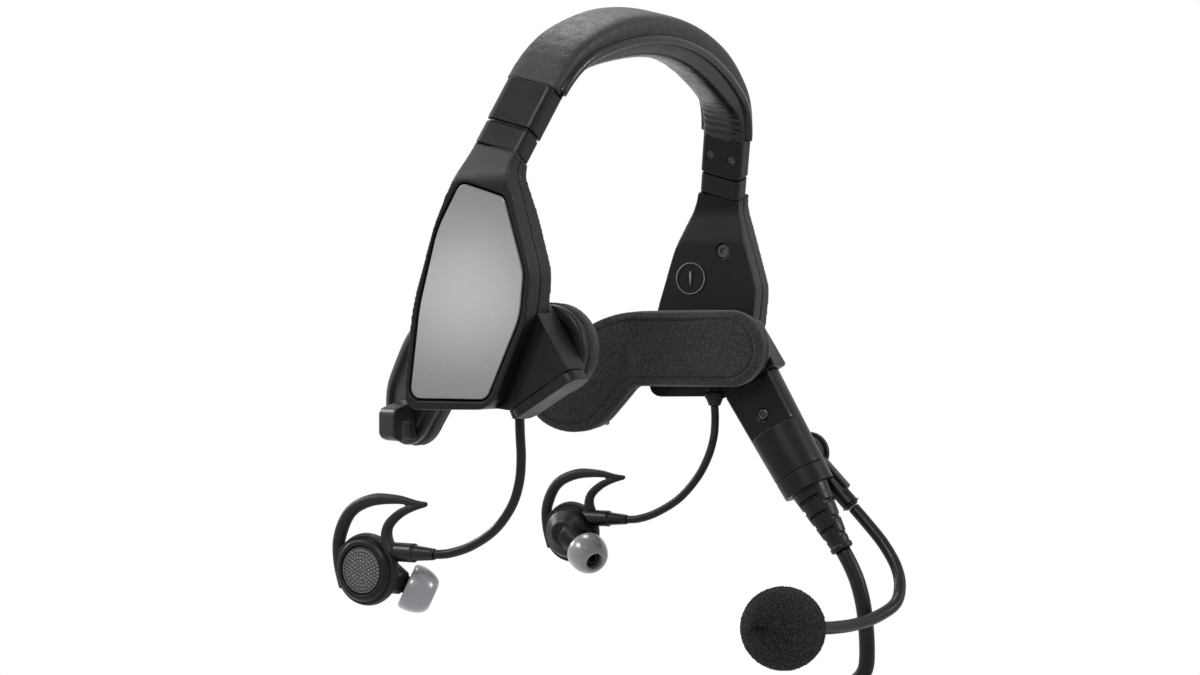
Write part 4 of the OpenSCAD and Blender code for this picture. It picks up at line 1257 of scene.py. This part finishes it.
def make_floor():
    """A pale floor under the object, which turns to plain white further out. It lies lower than
    the hank reaches when both slides are pulled out."""
    height = cad_box[0][2] - SLIDE_REACH
    corners = [(x * FLOOR_REACH, y * FLOOR_REACH, height)
               for x, y in ((-1, -1), (1, -1), (1, 1), (-1, 1))]
    mesh = bpy.data.meshes.new("floor")
    mesh.from_pydata(corners, [], [(0, 1, 2, 3)])
    floor = new_object("floor", mesh)
    made = Finish("pale_floor", (0.86, 0.86, 0.86), 0.7)
    made.bump(made.noise(300, 3.0), 0.0001, 0.2)
    far = made.node("ShaderNodeVectorMath", {0: made.place}, operation="LENGTH")
    share = made.span(far.outputs["Value"], 0.5, 1.0, 0.35, 0.62)
    white = made.node("ShaderNodeEmission")
    mixed = white_for_camera(made.tree, made.shader.outputs[0], white.outputs[0], share)
    made.tree.links.new(mixed, made.tree.nodes["Material Output"].inputs["Surface"])
    mesh.materials.append(made.material)


def soft_light(name, place, target, size, power_w):
    """A square area lamp turned to its target."""
    data = bpy.data.lights.new(name, "AREA")
    data.size = size
    data.energy = power_w
    lamp = new_object(name, data)
    lamp.location = place
    lamp.rotation_euler = (Vector(target) - Vector(place)).to_track_quat("-Z", "Y").to_euler()


def make_stage():
    """Camera, lights, world and floor. One lamp stands where the face plate mirrors it."""
    stage = settings().stage
    scene = bpy.context.scene
    scene.view_settings.view_transform = "Standard"
    data = bpy.data.cameras.new("camera")
    data.lens = stage.lens
    data.sensor_width = 36
    camera = new_object("camera", data)
    place = Vector((math.sin(stage.azimuth), -math.cos(stage.azimuth), -CAMERA_DROP))
    place *= stage.distance
    camera.location = place
    camera.rotation_euler = (-place).to_track_quat("-Z", "Y").to_euler()
    scene.camera = camera
    make_world()
    make_floor()
    soft_light("key", (-0.8, -0.2, 0.6), (0, 0, 0.02), 0.25, stage.key)
    low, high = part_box("right_face_plate")
    middle = (low + high) / 2
    seen = (place - middle).normalized()
    mirrored = Vector((seen.x, -seen.y, -seen.z))
    soft_light("plate", middle + PLATE_LAMP * mirrored, middle, PLATE_LAMP_SIZE,
               stage.fill / PLATE_LAMP_PART)
    for name, lamp_at, target, size, share in FILL_LAMPS:
        soft_light(name, lamp_at, target, size, stage.fill * share)


# ---- Operators and panel ----


class HEADSET_OT_stage(bpy.types.Operator):
    """Make the camera, lights, world and floor."""

    bl_idname = "headset.stage"
    bl_label = "Stage"

    def execute(self, context):
        make_stage()
        return {"FINISHED"}


class HEADSET_OT_cords(bpy.types.Operator):
    """Make the down cable, its plug and the ear cables."""

    bl_idname = "headset.cords"
    bl_label = "Cords"

    def execute(self, context):
        make_cords()
        return {"FINISHED"}


class HEADSET_OT_band(bpy.types.Operator):
    """Make the padded headband."""

    bl_idname = "headset.band"
    bl_label = "Band"

    def execute(self, context):
        make_band()
        return {"FINISHED"}


class HEADSET_OT_collars(bpy.types.Operator):
    """Make the collars and slides."""

    bl_idname = "headset.collars"
    bl_label = "Collars"

    def execute(self, context):
        make_collars()
        return {"FINISHED"}


class HEADSET_OT_pods(bpy.types.Operator):
    """Make the pods and port housings."""

    bl_idname = "headset.pods"
    bl_label = "Pods"

    def execute(self, context):
        make_pods()
        return {"FINISHED"}


class HEADSET_OT_pads(bpy.types.Operator):
    """Make the temple pads."""

    bl_idname = "headset.pads"
    bl_label = "Pads"

    def execute(self, context):
        make_pads()
        return {"FINISHED"}


class HEADSET_OT_earbuds(bpy.types.Operator):
    """Make the earbuds, wings and tips."""

    bl_idname = "headset.earbuds"
    bl_label = "Earbuds"

    def execute(self, context):
        make_earbuds()
        return {"FINISHED"}


class HEADSET_OT_module(bpy.types.Operator):
    """Make the cable module and its boot."""

    bl_idname = "headset.module"
    bl_label = "Module"

    def execute(self, context):
        make_module()
        return {"FINISHED"}


class HEADSET_OT_boom(bpy.types.Operator):
    """Make the boom, gooseneck and windscreen."""

    bl_idname = "headset.boom"
    bl_label = "Boom"

    def execute(self, context):
        make_boom()
        return {"FINISHED"}


MAKERS = [HEADSET_OT_stage, HEADSET_OT_cords, HEADSET_OT_band, HEADSET_OT_collars,
          HEADSET_OT_pods, HEADSET_OT_pads, HEADSET_OT_earbuds, HEADSET_OT_module,
          HEADSET_OT_boom]


class HEADSET_PT_panel(bpy.types.Panel):
    """Lists the pieces that can be made."""

    bl_idname = "HEADSET_PT_panel"
    bl_label = "Headset"
    bl_space_type = "VIEW_3D"
    bl_region_type = "UI"
    bl_category = "Headset"

    def draw(self, context):
        for operator in MAKERS:
            self.layout.operator(operator.bl_idname)


CLASSES = [HeadsetBandSettings, HeadsetPadSettings, HeadsetCordSettings, HeadsetFinishSettings,
           HeadsetStageSettings, HeadsetSettings, *MAKERS, HEADSET_PT_panel]


def register():
    """Registers the classes and the scene's settings."""
    for each in CLASSES:
        bpy.utils.register_class(each)
    bpy.types.Scene.headset = PointerProperty(type=HeadsetSettings)


def unregister():
    """Takes the settings and the classes away."""
    del bpy.types.Scene.headset
    for each in reversed(CLASSES):
        bpy.utils.unregister_class(each)


def main():
    """Makes every piece in order."""
    register()
    bpy.ops.headset.stage()
    bpy.ops.headset.cords()
    bpy.ops.headset.band()
    bpy.ops.headset.collars()
    bpy.ops.headset.pods()
    bpy.ops.headset.pads()
    bpy.ops.headset.earbuds()
    bpy.ops.headset.module()
    bpy.ops.headset.boom()


if __name__ == "__main__":
    main()
